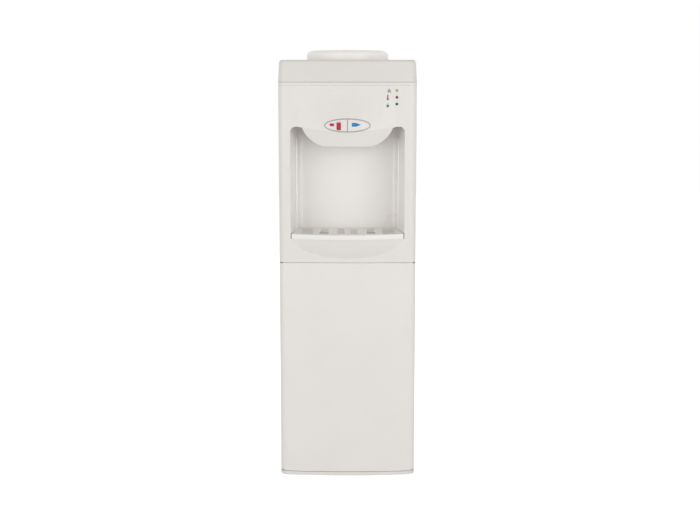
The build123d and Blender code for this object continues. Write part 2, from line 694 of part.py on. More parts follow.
def button_bezel():
    """Oval ring round the two buttons, with the bar between them."""
    rim = BEZEL_PROUD + WALL + BUTTON_TRAVEL
    ring = skin(lens(BEZEL) - lens(0), BEZEL_PROUD, BEZEL_PROUD)
    ring += skin(lens(BEZEL / 2) - lens(0), BEZEL_PROUD, rim)
    middle = Pos(0, LENS_Z) * Rectangle(DIVIDER, 4 * LENS_HALF_HEIGHT)
    return ring + skin(lens(0) & middle, BEZEL_PROUD / 2, rim)


def button(side):
    """Half of the oval lens, with the boss that pushes the tap stem."""
    bar = DIVIDER / 2 + BUTTON_GAP
    centre = side * (bar + LENS_HALF)
    half = lens(-BUTTON_GAP) & (Pos(centre, LENS_Z) * Rectangle(2 * LENS_HALF, 4 * LENS_HALF_HEIGHT))
    plate = skin(half, BUTTON_PROUD, BUTTON_PLATE)
    boss = lengthwise(side * TAP_X, LENS_Z, FRONT_Y - CROWN - BROW_RISE, STEM_FRONT - FIT, STEM_HEAD_R)
    return plate + (boss & (Pos(0, BUTTON_PLATE / 2, 0) * BROW))


def lock_place():
    """Frame of the child lock: it lies on the sloping face of the hot button."""
    step = LOCK_LENGTH / 2
    middle = LENS_Z - LOCK_DROP
    low = crown_y(LOCK_X) - brow_rise(LOCK_X, middle - step)
    high = crown_y(LOCK_X) - brow_rise(LOCK_X, middle + step)
    lean = degrees(asin((high - low) / (2 * step)))
    return Pos(LOCK_X, (low + high) / 2 + SOFT_EDGE - BUTTON_PROUD, middle) * Rot(-lean, 0, 0)


def child_lock():
    """Red tab on the hot button; it slides up to free the button."""
    tab = Pos(0, -LOCK_THICK / 2 + LOCK_SINK - FIT, 0) * Box(LOCK_WIDTH, LOCK_THICK, LOCK_LENGTH)
    tab = fillet(tab.edges().filter_by(Axis.Y), LOCK_CORNER_R)
    stem = Pos(0, BUTTON_PLATE, 0) * Box(LOCK_WIDTH / 2, 2 * BUTTON_PLATE + 1, LOCK_LENGTH / 3)
    return lock_place() * (tab + stem)


def hot_button():
    """Left half, with the recess and slot of the child lock."""
    travel = LOCK_TRAVEL / 2
    front = Pos(0, LOCK_SINK - LOCK_THICK, 0)
    recess = front * Box(LOCK_WIDTH + 2 * FIT, 2 * LOCK_THICK, LOCK_LENGTH + LOCK_TRAVEL + 2 * FIT)
    depth = 2 * (BUTTON_PLATE + BUTTON_TRAVEL)
    slot = Box(LOCK_WIDTH / 2 + 2 * FIT, depth, LOCK_LENGTH / 3 + LOCK_TRAVEL + 2 * FIT)
    return button(-1) - lock_place() * Pos(0, 0, travel) * (recess + slot)


def tap_stem(side):
    """Push rod of a tap: round head, rod and soft valve disc."""
    x = side * TAP_X
    head = lengthwise(x, LENS_Z, STEM_FRONT, STEM_FRONT + 3, STEM_HEAD_R + 2)
    rod = lengthwise(x, LENS_Z, STEM_FRONT + 3, TAP_FRONT + TAP_WALL + 8, STEM_R)
    disc = lengthwise(x, LENS_Z, TAP_FRONT + TAP_WALL + 5, TAP_FRONT + TAP_WALL + 8, STEM_R + 3)
    return head + rod + disc


def tap_spring(side):
    """Return spring between the stem's head and the tap, as a sleeve."""
    x = side * TAP_X
    coil = lengthwise(x, LENS_Z, STEM_FRONT + 3 + FIT, TAP_FRONT - FIT, STEM_HEAD_R + 1)
    return coil - lengthwise(x, LENS_Z, STEM_FRONT, TAP_FRONT, STEM_HEAD_R)


def tap_body(side):
    """Tap hung in the bay ceiling: valve chamber, flange, nozzle and barb."""
    x = side * TAP_X
    rear = TAP_FRONT + TAP_LENGTH
    seat = BAY_TOP + LINER
    low = LENS_Z - CHAMBER_R - TAP_WALL - 1
    high = BARB_Z + WATER_BORE_R + TAP_WALL
    body = block(x - TAP_HALF, x + TAP_HALF, TAP_FRONT, rear, low, high)
    body = fillet(body.edges().filter_by(Axis.Y), TAP_WALL)
    reach = TAP_HALF + TAP_EAR
    body += block(x - reach, x + reach, TAP_FRONT + TAP_EAR, rear - TAP_EAR, seat, seat + TAP_WALL)
    body += upright(x, TAP_NOZZLE_Y, APRON_Z + 1, low, NOZZLE_R)
    body += lengthwise(x, BARB_Z, rear, rear + BARB_LENGTH, WATER_BORE_R - BARB_FIT)
    body -= lengthwise(x, LENS_Z, TAP_FRONT + TAP_WALL, rear - TAP_WALL, CHAMBER_R)
    body -= lengthwise(x, LENS_Z, TAP_FRONT - 1, rear - 2 * TAP_WALL, STEM_R + RUNNING_FIT)
    body -= lengthwise(x, BARB_Z, rear - 2 * TAP_WALL, rear + BARB_LENGTH + 1, WATER_BORE_R / 2)
    return body - upright(x, TAP_NOZZLE_Y, APRON_Z, LENS_Z, NOZZLE_R - TAP_WALL)


# ---- drip tray ----
def bay_half(y):
    """Half width of the dispensing bay at y."""
    return BAY_HALF - (BAY_HALF - BAY_REAR_HALF) * (y - FRONT_Y) / BAY_DEPTH


def lip_plan(inset):
    """Plan outline of the tray's front lip, bowed like a shallow arc."""
    rear = FRONT_Y + WALL + TRAY_SET + TRAY_WALL
    ends = FRONT_Y - LIP_TUCK + inset
    near = BAY_HALF - TRAY_CLEAR - inset
    far = bay_half(rear) - TRAY_CLEAR - inset
    bow = ThreePointArc((-near, ends), (0, FRONT_Y - LIP_REACH + inset), (near, ends))
    sides = Polyline((near, ends), (far, rear), (-far, rear), (-near, ends))
    face = make_face([*bow.edges(), *sides.edges()])
    return fillet(face.vertices().sort_by(Axis.Y)[:2], max(LIP_CORNER_R - inset, 1))


def tray_room(inset, z0, z1):
    """Space of the basin behind the front panel."""
    front = FRONT_Y + WALL + TRAY_SET + inset
    room = bay_plan(TRAY_CLEAR + inset, front, BAY_BACK - TRAY_CLEAR - inset)
    return extrude(Pos(0, 0, z0) * room, amount=z1 - z0)


def drip_tray():
    """Lift-out basin with a bowed lip across the front."""
    lip = extrude(Pos(0, 0, LIP_BOTTOM) * lip_plan(0), amount=LIP_HEIGHT)
    arcs = lip.edges().filter_by(GeomType.CIRCLE).group_by(Axis.Z)[-1]
    lip = fillet(arcs.sort_by(SortBy.LENGTH)[-1:], LIP_EDGE_R)
    outer = tray_room(0, TRAY_Z, LIP_TOP) + lip
    hollow = tray_room(TRAY_WALL, TRAY_Z + TRAY_WALL, LIP_TOP + 1)
    apron = extrude(Pos(0, 0, LIP_BOTTOM + TRAY_WALL) * lip_plan(LIP_RIM), amount=LIP_HEIGHT)
    seat = GRILLE + FIT
    ledge = tray_room(TRAY_WALL / 2, LIP_TOP - seat, LIP_TOP + 1)
    return outer - hollow - apron - ledge


def grille_plan(inset):
    """Outline of the tray's mouth, basin and lip together."""
    edge = TRAY_CLEAR + TRAY_WALL / 2 + inset
    front = FRONT_Y + WALL + TRAY_SET + TRAY_WALL / 2
    return bay_plan(edge, front, BAY_BACK - edge) + lip_plan(LIP_RIM + inset)


def drip_grille():
    """Flat grille over the basin, with rows of drain slots."""
    plate = extrude(Pos(0, 0, LIP_TOP - GRILLE) * grille_plan(FIT), amount=GRILLE)
    under = Pos(0, 0, LIP_TOP - GRILLE) * grille_plan(FIT + GRILLE_RIM)
    plate -= extrude(under, amount=GRILLE - GRILLE_SKIN)
    pitch = (BAY_DEPTH - SLOT_END) / SLOT_ROWS
    for row in range(SLOT_ROWS):
        start = FRONT_Y + SLOT_START + pitch * row
        for column, (x, width) in enumerate(SLOT_COLUMNS):
            length = FINGER_LENGTH if (row, column) == FINGER_SLOT else SLOT_LENGTH
            slot = RectangleRounded(width - row * SLOT_TAPER, length, SLOT_R)
            for side in (-1, 1):
                place = Pos(side * x, start + length / 2, LIP_TOP - 2 * GRILLE)
                plate -= extrude(place * slot, amount=3 * GRILLE)
    return plate


# ---- top ----
def cover_solid(inset, top):
    """Top cover, drawn in a little and rounded over at its top."""
    crest = top - COVER_EDGE_R
    sections = [Pos(0, 0, SEAM_Z) * plan(inset)]
    for step in range(COVER_STEPS + 1):
        angle = radians(90 * step / COVER_STEPS)
        draw = COVER_TAPER + COVER_EDGE_R * (1 - cos(angle))
        sections.append(Pos(0, 0, crest + COVER_EDGE_R * sin(angle)) * plan(inset + draw))
    return loft(sections, ruled=True)


def top_cover():
    """Moulded lid of the head, with the round hole of the bottle seat."""
    shell = cover_solid(0, HEAD_TOP) - cover_solid(WALL, HEAD_TOP - WALL)
    return shell - upright(0, 0, SEAM_Z, HEAD_TOP + 1, SEAT_HOLE_R)


def shoulder(start, end):
    """Rounded shoulder between two points of radius and height, a quarter of an ellipse."""
    lift = (start[0], start[1] + ROUND * (end[1] - start[1]))
    reach = (end[0] + ROUND * (start[0] - end[0]), end[1])
    return Bezier(start, lift, reach, end)


def bottle_collar():
    """Domed ring that the shoulder of the bottle rests on."""
    foot = HEAD_TOP + COLLAR_FOOT
    mouth = RIM_R - RIM_WIDTH
    crest = RIM_R - COLLAR_CREST
    hem = HEAD_TOP + FUNNEL_RISE + FIT
    outside = shoulder((COLLAR_R, foot), (crest, RIM_Z))
    inside = shoulder((COLLAR_R - WALL, foot), (crest, RIM_Z - WALL))
    bore = COLLAR_R - WALL
    base = Polyline((bore, foot), (bore, HEAD_TOP), (COLLAR_R, HEAD_TOP), (COLLAR_R, foot))
    rim = Polyline(
        (crest, RIM_Z),
        (mouth, RIM_Z),
        (mouth, hem),
        (mouth + LINER, hem),
        (mouth + LINER, RIM_Z - WALL),
        (crest, RIM_Z - WALL),
    )
    face = make_face([*outside.edges(), *inside.edges(), *base.edges(), *rim.edges()])
    return revolve(Plane.XZ * face, axis=Axis.Z)


def bottle_seat():
    """Funnel and throat for the neck of the bottle, flanged on the cover."""
    top = HEAD_TOP + FUNNEL_RISE
    outline = Polyline(
        (SEAT_R, top),
        (SEAT_R + LINER, top),
        (SEAT_R + LINER, HEAD_TOP + LINER),
        (SEAT_FLANGE_R, HEAD_TOP + LINER),
        (SEAT_FLANGE_R, HEAD_TOP),
        (SEAT_R + LINER, HEAD_TOP),
        (SEAT_R, HEAD_TOP - LINER),
        (THROAT_R + LINER, FUNNEL_BOTTOM - LINER),
        (THROAT_R + LINER, SEAT_BOTTOM - LINER),
        (0, SEAT_BOTTOM - LINER),
        (0, SEAT_BOTTOM),
        (THROAT_R, SEAT_BOTTOM),
        (THROAT_R, FUNNEL_BOTTOM),
        (SEAT_R - LINER, HEAD_TOP),
        (SEAT_R, HEAD_TOP + LINER),
        close=True,
    )
    funnel = revolve(Plane.XZ * make_face(outline.edges()), axis=Axis.Z)
    outlet = upright(0, OUTLET_Y, COLD_TOP - TANK_WALL - LINER, SEAT_BOTTOM - LINER, OUTLET_R)
    return funnel + outlet - upright(0, OUTLET_Y, SHELF_TOP, SEAT_BOTTOM + 1, OUTLET_R - LINER)


def bottle_spike():
    """Hollow probe that opens the cap of the bottle."""
    top = SEAT_BOTTOM + SPIKE_HEIGHT
    spike = upright(0, 0, SEAT_BOTTOM, top, SPIKE_R)
    spike = fillet(spike.faces().sort_by(Axis.Z)[-1].edges(), SPIKE_TIP_R)
    spike -= upright(0, 0, SEAT_BOTTOM, top - SPIKE_CAP, SPIKE_BORE_R)
    high = top - WINDOW_DROP
    window = block(-WINDOW_HALF, WINDOW_HALF, -SPIKE_R, SPIKE_R, high - WINDOW_HEIGHT, high)
    half = SPIKE_SLOT_HALF
    slot = block(-half, half, -SPIKE_R, SPIKE_R, SEAT_BOTTOM, SEAT_BOTTOM + SPIKE_SLOT)
    return spike - window - slot


# ---- door ----
def door_panel():
    """Moulded door skin, open behind, with a boss for each hinge pin."""
    outer = prism(0, DOOR_BOTTOM, DOOR_TOP)
    inner = prism(DOOR_WALL, DOOR_BOTTOM + DOOR_WALL, DOOR_TOP - DOOR_WALL)
    shell = (outer - inner) & block(-FAR, FAR, -FAR, DOOR_BACK, 0, SEAM_Z)
    reach = PIN_LENGTH + BOSS_END
    for z0, z1 in ((DOOR_BOTTOM, DOOR_BOTTOM + reach), (DOOR_TOP - reach, DOOR_TOP)):
        shell += upright(PIN_X, PIN_Y, z0, z1, PIN_R + BOSS_WALL) & outer
    deep = PIN_LENGTH + PIN_END_GAP
    bore = PIN_R + RUNNING_FIT
    lower = upright(PIN_X, PIN_Y, DOOR_BOTTOM - 1, DOOR_BOTTOM + deep, bore)
    return shell - lower - upright(PIN_X, PIN_Y, DOOR_TOP - deep, DOOR_TOP + 1, bore)


def door_liner():
    """Inner panel that closes the door, with a shallow pressed field."""
    room = prism(DOOR_WALL, DOOR_BOTTOM + DOOR_WALL, DOOR_TOP - DOOR_WALL)
    panel = room & block(-FAR, FAR, DOOR_BACK - LINER, DOOR_BACK, 0, SEAM_Z)
    margin = GASKET_OUT + GASKET_WIDTH + DOOR_FIELD
    half = FRONT_HALF - margin
    return panel - block(-half, half, DOOR_BACK - LINER / 2, FAR, DOOR_BOTTOM + margin, DOOR_TOP - margin)


def door_gasket():
    """Soft ring on the back of the door."""
    half = PIN_X - GASKET_IN
    rear = FACE_Y - GASKET_CLEAR
    low = DOOR_BOTTOM + GASKET_OUT
    high = DOOR_TOP - GASKET_OUT
    ring = block(-half, half, DOOR_BACK, rear, low, high)
    w = GASKET_WIDTH
    return ring - block(-half + w, half - w, DOOR_BACK - 1, FACE_Y, low + w, high - w)


def hinge_brackets():
    """Two flat plates that hold the hinge pins, below and above the door."""
    left = PIN_X - BRACKET_REACH
    right = PIN_X + BRACKET_END
    front = PIN_Y - BRACKET_FRONT
    plates = []
    for z in (BASE_TOP, DECK_Z - BRACKET):
        plate = block(left, right, front, FACE_Y - FIT, z, z + BRACKET)
        plate = fillet(plate.edges().filter_by(Axis.Z).sort_by(Axis.Y)[:2], BRACKET_R)
        plates.append((plate - upright(PIN_X, PIN_Y, 0, SEAM_Z, PIN_R)).solid())
    return Compound(children=plates)


def hinge_pins():
    """Two steel pins, one in each bracket."""
    low = upright(PIN_X, PIN_Y, BASE_TOP, DOOR_BOTTOM + PIN_LENGTH, PIN_R)
    high = upright(PIN_X, PIN_Y, DOOR_TOP - PIN_LENGTH, DECK_Z, PIN_R)
    return Compound(children=[low.solid(), high.solid()])


def door_magnet():
    """Magnetic catch on the wall of the storage cabinet."""
    wall = -(CABINET_HALF - LINER)
    low = MOTOR_BAY_TOP + MAGNET_RISE
    rear = FACE_Y + MAGNET_DEPTH
    return block(wall, wall + MAGNET_WIDTH, FACE_Y - MAGNET_PROUD, rear, low, low + MAGNET_HEIGHT)


def door_strike():
    """Steel plate on the door that meets the magnet."""
    left = -(CABINET_HALF - LINER) + STRIKE_EDGE
    right = left + MAGNET_WIDTH - 2 * STRIKE_EDGE
    low = MOTOR_BAY_TOP + MAGNET_RISE + 2 * STRIKE_EDGE
    high = low + MAGNET_HEIGHT - 4 * STRIKE_EDGE
    return block(left, right, DOOR_BACK, FACE_Y - MAGNET_PROUD - FIT, low, high)


# ---- water tanks ----
def can(x, y, z0, z1, r, wall):
    """Closed thin-walled can."""
    return upright(x, y, z0, z1, r) - upright(x, y, z0 + wall, z1 - wall, r - wall)


def cold_tank():
    """Stainless chilled-water tank under the bottle seat."""
    tank = can(0, COLD_Y, COLD_BOTTOM, COLD_TOP, COLD_R, TANK_WALL)
    tank -= upright(0, OUTLET_Y, COLD_TOP - 2 * TANK_WALL, COLD_TOP + 1, OUTLET_R + FIT)
    wall_y = COLD_Y - sqrt((COLD_R - TANK_WALL / 2) ** 2 - TAP_X ** 2)
    tank += lengthwise(TAP_X, BARB_Z, wall_y - BARB_LENGTH, wall_y, WATER_BORE_R - BARB_FIT)
    return tank - lengthwise(TAP_X, BARB_Z, wall_y - 2 * BARB_LENGTH, wall_y + 5, WATER_BORE_R / 2)


def evaporator_coil():
    """Cooling coil round the cold tank, as a sleeve of its outer shape."""
    z0 = COLD_BOTTOM + COIL_RISE
    z1 = BARB_Z - 2 * WATER_TUBE_R
    outer = upright(0, COLD_Y, z0, z1, COLD_R + FIT / 3 + COIL_THICK)
    return outer - upright(0, COLD_Y, z0 - 1, z1 + 1, COLD_R + FIT / 3)


def cold_tank_insulation():
    """Foam jacket of the cold tank, standing on its shelf."""
    inner = COLD_JACKET_R - COLD_FOAM
    top = COLD_TOP + JACKET_RISE
    jacket = upright(0, COLD_Y, SHELF_TOP, top, COLD_JACKET_R)
    jacket -= upright(0, COLD_Y, COLD_BOTTOM, top + 1, inner)
    jacket -= lengthwise(TAP_X, BARB_Z, COLD_Y - 2 * COLD_R, COLD_Y - COLD_R / 2, WATER_TUBE_R + FIT)
    jacket -= crosswise(COLD_Y, SUCTION_Z, inner - 1, 2 * inner, LINE_R + FIT)
    return jacket - crosswise(COLD_Y, CAPILLARY_Z, inner - 1, 2 * inner, CAPILLARY_R + FIT)


def hot_tank():
    """Stainless heating tank with its outlet above and drain below."""
    tank = can(HOT_X, COLD_Y, HOT_BOTTOM, HOT_TOP, HOT_R, TANK_WALL)
    outlet = upright(HOT_OUT_X, COLD_Y, HOT_TOP, HOT_TOP + BARB_LENGTH, WATER_BORE_R - BARB_FIT)
    return tank + outlet


def hot_tank_insulation():
    """Foam jacket of the hot tank, standing on the deck."""
    inner = HOT_R + BAND_THICK + JACKET_ROOM
    top = HOT_TOP + HOT_FOAM
    jacket = upright(HOT_X, COLD_Y, DECK_TOP, top, inner + HOT_FOAM)
    jacket -= upright(HOT_X, COLD_Y, HOT_BOTTOM, HOT_TOP + FIT, inner)
    jacket -= upright(HOT_OUT_X, COLD_Y, HOT_TOP, top + 1, WATER_TUBE_R + FIT)
    jacket -= upright(DRAIN_X, COLD_Y, DECK_TOP, HOT_BOTTOM + 1, DRAIN_R + FIT)
    half = DRAIN_R + FIT
    return jacket - block(DRAIN_X - half, DRAIN_X + half, COLD_Y - half, FAR, 0, DRAIN_Z + half)


def heater_band():
    """Band heater clamped round the hot tank."""
    z0 = HOT_BOTTOM + BAND_RISE
    band = upright(HOT_X, COLD_Y, z0, z0 + BAND_HEIGHT, HOT_R + FIT / 3 + BAND_THICK)
    return band - upright(HOT_X, COLD_Y, z0 - 1, z0 + BAND_HEIGHT + 1, HOT_R + FIT / 3)


def thermostats():
    """Two disc thermostats on the front of the hot tank."""
    front = COLD_Y - HOT_R - FIT / 3
    levels = [HOT_BOTTOM + rise for rise in DISC_LEVELS]
    discs = [lengthwise(HOT_X, z, front - DISC_THICK, front, DISC_R) for z in levels]
    return Compound(children=[disc.solid() for disc in discs])


def cold_water_tube():
    """Straight silicone tube from the cold tank to the cold tap."""
    start = TAP_FRONT + TAP_LENGTH + FIT
    end = COLD_Y - sqrt(COLD_R ** 2 - TAP_X ** 2) - FIT
    tube = lengthwise(TAP_X, BARB_Z, start, end - BARB_LENGTH / 4, WATER_TUBE_R)
    return tube - lengthwise(TAP_X, BARB_Z, start - 1, end + 1, WATER_BORE_R)


def hot_water_tube():
    """Silicone tube from the hot tank up and round to the hot tap."""
    start = TAP_FRONT + TAP_LENGTH + FIT
    turn = start + BARB_LENGTH + 2 * WATER_TUBE_R + 12
    low = HOT_TOP + FIT
    route = [(-TAP_X, start, BARB_Z), (-TAP_X, turn, BARB_Z), (HOT_OUT_X, turn, BARB_Z)]
    route += [(HOT_OUT_X, COLD_Y, BARB_Z), (HOT_OUT_X, COLD_Y, low)]
    return pipe(route, WATER_TUBE_R, 4 * WATER_TUBE_R) - pipe(route, WATER_BORE_R, 4 * WATER_TUBE_R)


def drain_spout():
    """Drain pipe from the hot tank out through the back panel."""
    out = BACK_Y + DRAIN_REACH
    route = [(DRAIN_X, COLD_Y, HOT_BOTTOM), (DRAIN_X, COLD_Y, DRAIN_Z), (DRAIN_X, out, DRAIN_Z)]
    bend = min(5.9, HOT_BOTTOM - DRAIN_Z - 0.1)
    return pipe(route, DRAIN_R, bend) - lengthwise(DRAIN_X, DRAIN_Z, COLD_Y + 10, out + 1, DRAIN_BORE_R)


def drain_cap():
    """Cap on the end of the drain."""
    inner = BACK_Y + CAP_GAP
    end = BACK_Y + DRAIN_REACH
    cap = lengthwise(DRAIN_X, DRAIN_Z, inner, end + CAP_WALL, DRAIN_R + CAP_WALL)
    return cap - lengthwise(DRAIN_X, DRAIN_Z, inner - 1, end + FIT, DRAIN_R + RUNNING_FIT)


# ---- cooling circuit ----
def compressor():
    """Sealed compressor can on its foot plate."""
    low = FLOOR_Z + MOUNT_HEIGHT
    foot = Pos(COMPRESSOR_X, COMPRESSOR_Y, low + MOTOR_PLATE / 2)
    plate = foot * Box(2 * (MOUNT_X + PLATE_EDGE), 2 * (MOUNT_Y + PLATE_EDGE), MOTOR_PLATE)
    body = upright(COMPRESSOR_X, COMPRESSOR_Y, low + MOTOR_PLATE, low + COMPRESSOR_HEIGHT, COMPRESSOR_R)
    return plate + fillet(body.faces().sort_by(Axis.Z)[-1].edges(), DOME_R)


def compressor_mounts():
    """Four rubber grommets under the compressor's foot plate."""
    low = FLOOR_Z
    mounts = []
    for x in (COMPRESSOR_X - MOUNT_X, COMPRESSOR_X + MOUNT_X):
        for y in (COMPRESSOR_Y - MOUNT_Y, COMPRESSOR_Y + MOUNT_Y):
            mounts.append(upright(x, y, low, low + MOUNT_HEIGHT, MOUNT_R).solid())
    return Compound(children=mounts)


def condenser():
    """Serpentine tube with upright wires on both sides, down to the drier."""
    left = CONDENSER_LEFT
    right = CONDENSER_RIGHT
    top = CONDENSER_LOW + (CONDENSER_RUNS - 1) * CONDENSER_PITCH
    route = [(left, TUBE_PLANE, CONDENSER_LOW - CONDENSER_TAIL)]
    for run in range(CONDENSER_RUNS):
        z = CONDENSER_LOW + run * CONDENSER_PITCH
        far = DRIER_X if run == CONDENSER_RUNS - 1 else right
        ends = [(left, TUBE_PLANE, z), (far, TUBE_PLANE, z)]
        route += ends if run % 2 == 0 else ends[::-1]
    route.append((DRIER_X, TUBE_PLANE, DRIER_Z + DRIER_LENGTH))
    solids = [pipe(route, TUBE_R, CONDENSER_BEND).solid()]
    offset = TUBE_R + WIRE_R + WIRE_CLEAR
    for i in range(WIRE_COUNT):
        for y in (TUBE_PLANE - offset, TUBE_PLANE + offset):
            solids.append(upright(wire_x(i), y, CONDENSER_LOW - WIRE_TAIL, top + WIRE_TAIL, WIRE_R).solid())
    return Compound(children=solids)


def wire_x(i):
    """X of one upright wire pair; the rows stay on the straight runs."""
    margin = CONDENSER_BEND + WIRE_R
    pitch = (CONDENSER_RIGHT - CONDENSER_LEFT - 2 * margin) / (WIRE_COUNT - 1)
    return CONDENSER_LEFT + margin + i * pitch


def condenser_brackets():
    """Four clips that hold the condenser off the back panel."""
    high = CONDENSER_LOW + (CONDENSER_RUNS - 1) * CONDENSER_PITCH
    rear = TUBE_PLANE - TUBE_R - 2 * WIRE_R - WIRE_CLEAR - FIT
    clips = []
    for x in (wire_x(3), wire_x(WIRE_COUNT - 4)):
        for z in (CONDENSER_LOW, high):
            clips.append(block(x - CLIP, x + CLIP, BACK_Y, rear, z - 2 * CLIP, z + 2 * CLIP).solid())
    return Compound(children=clips)


def filter_drier():
    """Copper drier in the line from the condenser."""
    drier = upright(DRIER_X, DRIER_Y, DRIER_Z, DRIER_Z + DRIER_LENGTH, DRIER_R)
    return fillet(drier.edges().filter_by(GeomType.CIRCLE), DRIER_R / 5)


def refrigerant_lines():
    """Discharge, suction and capillary lines of the cooling circuit."""
    side = COMPRESSOR_X + COMPRESSOR_R
    rear = COMPRESSOR_Y + COMPRESSOR_R
    coil = COLD_R + FIT / 3 + COIL_THICK
    drop = HOT_BOTTOM + LINE_RISE
    low = DRIER_Z - CAPILLARY_DROP
    discharge = [
        (COMPRESSOR_X, rear, PORT_Z),
        (COMPRESSOR_X, TUBE_PLANE, PORT_Z),
        (CONDENSER_LEFT, TUBE_PLANE, PORT_Z),
        (CONDENSER_LEFT, TUBE_PLANE, CONDENSER_LOW - CONDENSER_TAIL),
    ]
    suction = [
        (coil, COLD_Y, SUCTION_Z),
        (LINE_X, COLD_Y, SUCTION_Z),
        (LINE_X, COLD_Y, drop),
        (LINE_X, LINE_Y, drop),
        (LINE_X, LINE_Y, PORT_Z),
        (LINE_X, COMPRESSOR_Y, PORT_Z),
        (side, COMPRESSOR_Y, PORT_Z),
    ]
    capillary = [
        (coil, COLD_Y, CAPILLARY_Z),
        (CAPILLARY_X, COLD_Y, CAPILLARY_Z),
        (CAPILLARY_X, COLD_Y, drop + LINE_PITCH),
        (CAPILLARY_X, LINE_Y, drop + LINE_PITCH),
        (CAPILLARY_X, LINE_Y, low),
        (DRIER_X, LINE_Y, low),
        (DRIER_X, DRIER_Y, low),
        (DRIER_X, DRIER_Y, DRIER_Z),
    ]
    lines = [pipe(discharge, DISCHARGE_R, LINE_BEND), pipe(suction, LINE_R, LINE_BEND)]
    lines.append(pipe(capillary, CAPILLARY_R, CAPILLARY_BEND))
    return Compound(children=[line.solid() for line in lines])


# ---- rear switches and power inlet ----
def switch_plate():
    """Moulded plate at the back that holds two switches and the inlet."""
    rear = BACK_Y + PLATE_THICK
    low = SWITCH_Z - PLATE_DOWN
    high = SWITCH_Z + PLATE_UP
    plate = block(SWITCH_X - PLATE_HALF, SWITCH_X + PLATE_HALF, BACK_Y, rear, low, high)
    plate = fillet(plate.edges().filter_by(Axis.Y), PLATE_R)
    half = PLATE_HALF - PLATE_LAND
    front = BACK_Y - PLATE_BOX
    plate += block(SWITCH_X - half, SWITCH_X + half, front, BACK_Y, low + PLATE_LAND, high - PLATE_LAND)
    well = ROCKER_HALF + ROCKER_GAP
    height = ROCKER_HEIGHT + ROCKER_ROOM
    pivot = PIVOT_HALF + PIVOT_END
    for z in rocker_levels():
        plate -= block(SWITCH_X - well, SWITCH_X + well, BACK_Y - ROCKER_WELL, FAR, z - height, z + height)
        plate -= crosswise(ROCKER_Y, z, SWITCH_X - pivot, SWITCH_X + pivot, PIVOT_R + RUNNING_FIT)
    w = INLET_HALF_WIDTH + INLET_WALL
    h = INLET_HALF_HEIGHT + INLET_WALL
    depth = BACK_Y - INLET_DEPTH - INLET_FIT
    return plate - block(SWITCH_X - w, SWITCH_X + w, depth, FAR, INLET_Z - h, INLET_Z + h)


def rocker_levels():
    """Heights of the heating switch and the cooling switch."""
    return [SWITCH_Z + SWITCH_RISE, SWITCH_Z + SWITCH_RISE - SWITCH_PITCH]


def rocker(z):
    """Rocker with its two pivots, resting with the top pressed in."""
    h = ROCKER_HEIGHT
    points = [(ROCKER_FRONT, -h), (ROCKER_WAIST, 0), (ROCKER_FRONT, h), (-ROCKER_BACK, h), (-ROCKER_BACK, -h)]
    profile = make_face(Polyline(*points, close=True).edges())
    body = extrude(Plane.YZ.offset(-ROCKER_HALF) * profile, amount=2 * ROCKER_HALF, dir=(1, 0, 0))
    body += crosswise(0, 0, -PIVOT_HALF, PIVOT_HALF, PIVOT_R)
    return Pos(SWITCH_X, ROCKER_Y, z) * Rot(ROCKER_TILT, 0, 0) * body


def power_inlet():
    """Three-pin appliance inlet; no lead is fitted."""
    rear = BACK_Y + PLATE_THICK
    front = BACK_Y - INLET_DEPTH
    shell = inlet_block(INLET_WALL - FIT, front, rear)
    shell += inlet_block(INLET_LAND, rear, rear + INLET_FLANGE)
    shell -= inlet_block(-INLET_INSET, front + INLET_FLOOR, FAR)
    for x, z in BLADES:
        x += SWITCH_X
        z += INLET_Z
        tip = BACK_Y - BLADE_SET
        shell += block(x - BLADE_HALF, x + BLADE_HALF, front + 1, tip, z - BLADE_HEIGHT, z + BLADE_HEIGHT)
    return shell


def inlet_block(grow, y0, y1):
    """Block of the inlet's size, grown on its four sides."""
    w = INLET_HALF_WIDTH + grow
    h = INLET_HALF_HEIGHT + grow
    return block(SWITCH_X - w, SWITCH_X + w, y0, y1, INLET_Z - h, INLET_Z + h)


def rear_screws():
    """Pan-head screws along both edges of the back panel."""
    low = MOTOR_BAY_TOP + SCREW_END
    pitch = (SEAM_Z - SCREW_END - low) / (SCREW_ROWS - 1)
    heads = []
    for x in (-REAR_HALF + SCREW_IN, REAR_HALF - SCREW_IN):
        for i in range(SCREW_ROWS):
            head = lengthwise(x, low + i * pitch, BACK_Y, BACK_Y + SCREW_HEAD, SCREW_R)
            heads.append(fillet(head.faces().sort_by(Axis.Y)[-1].edges(), SCREW_EDGE_R).solid())
    return Compound(children=heads)


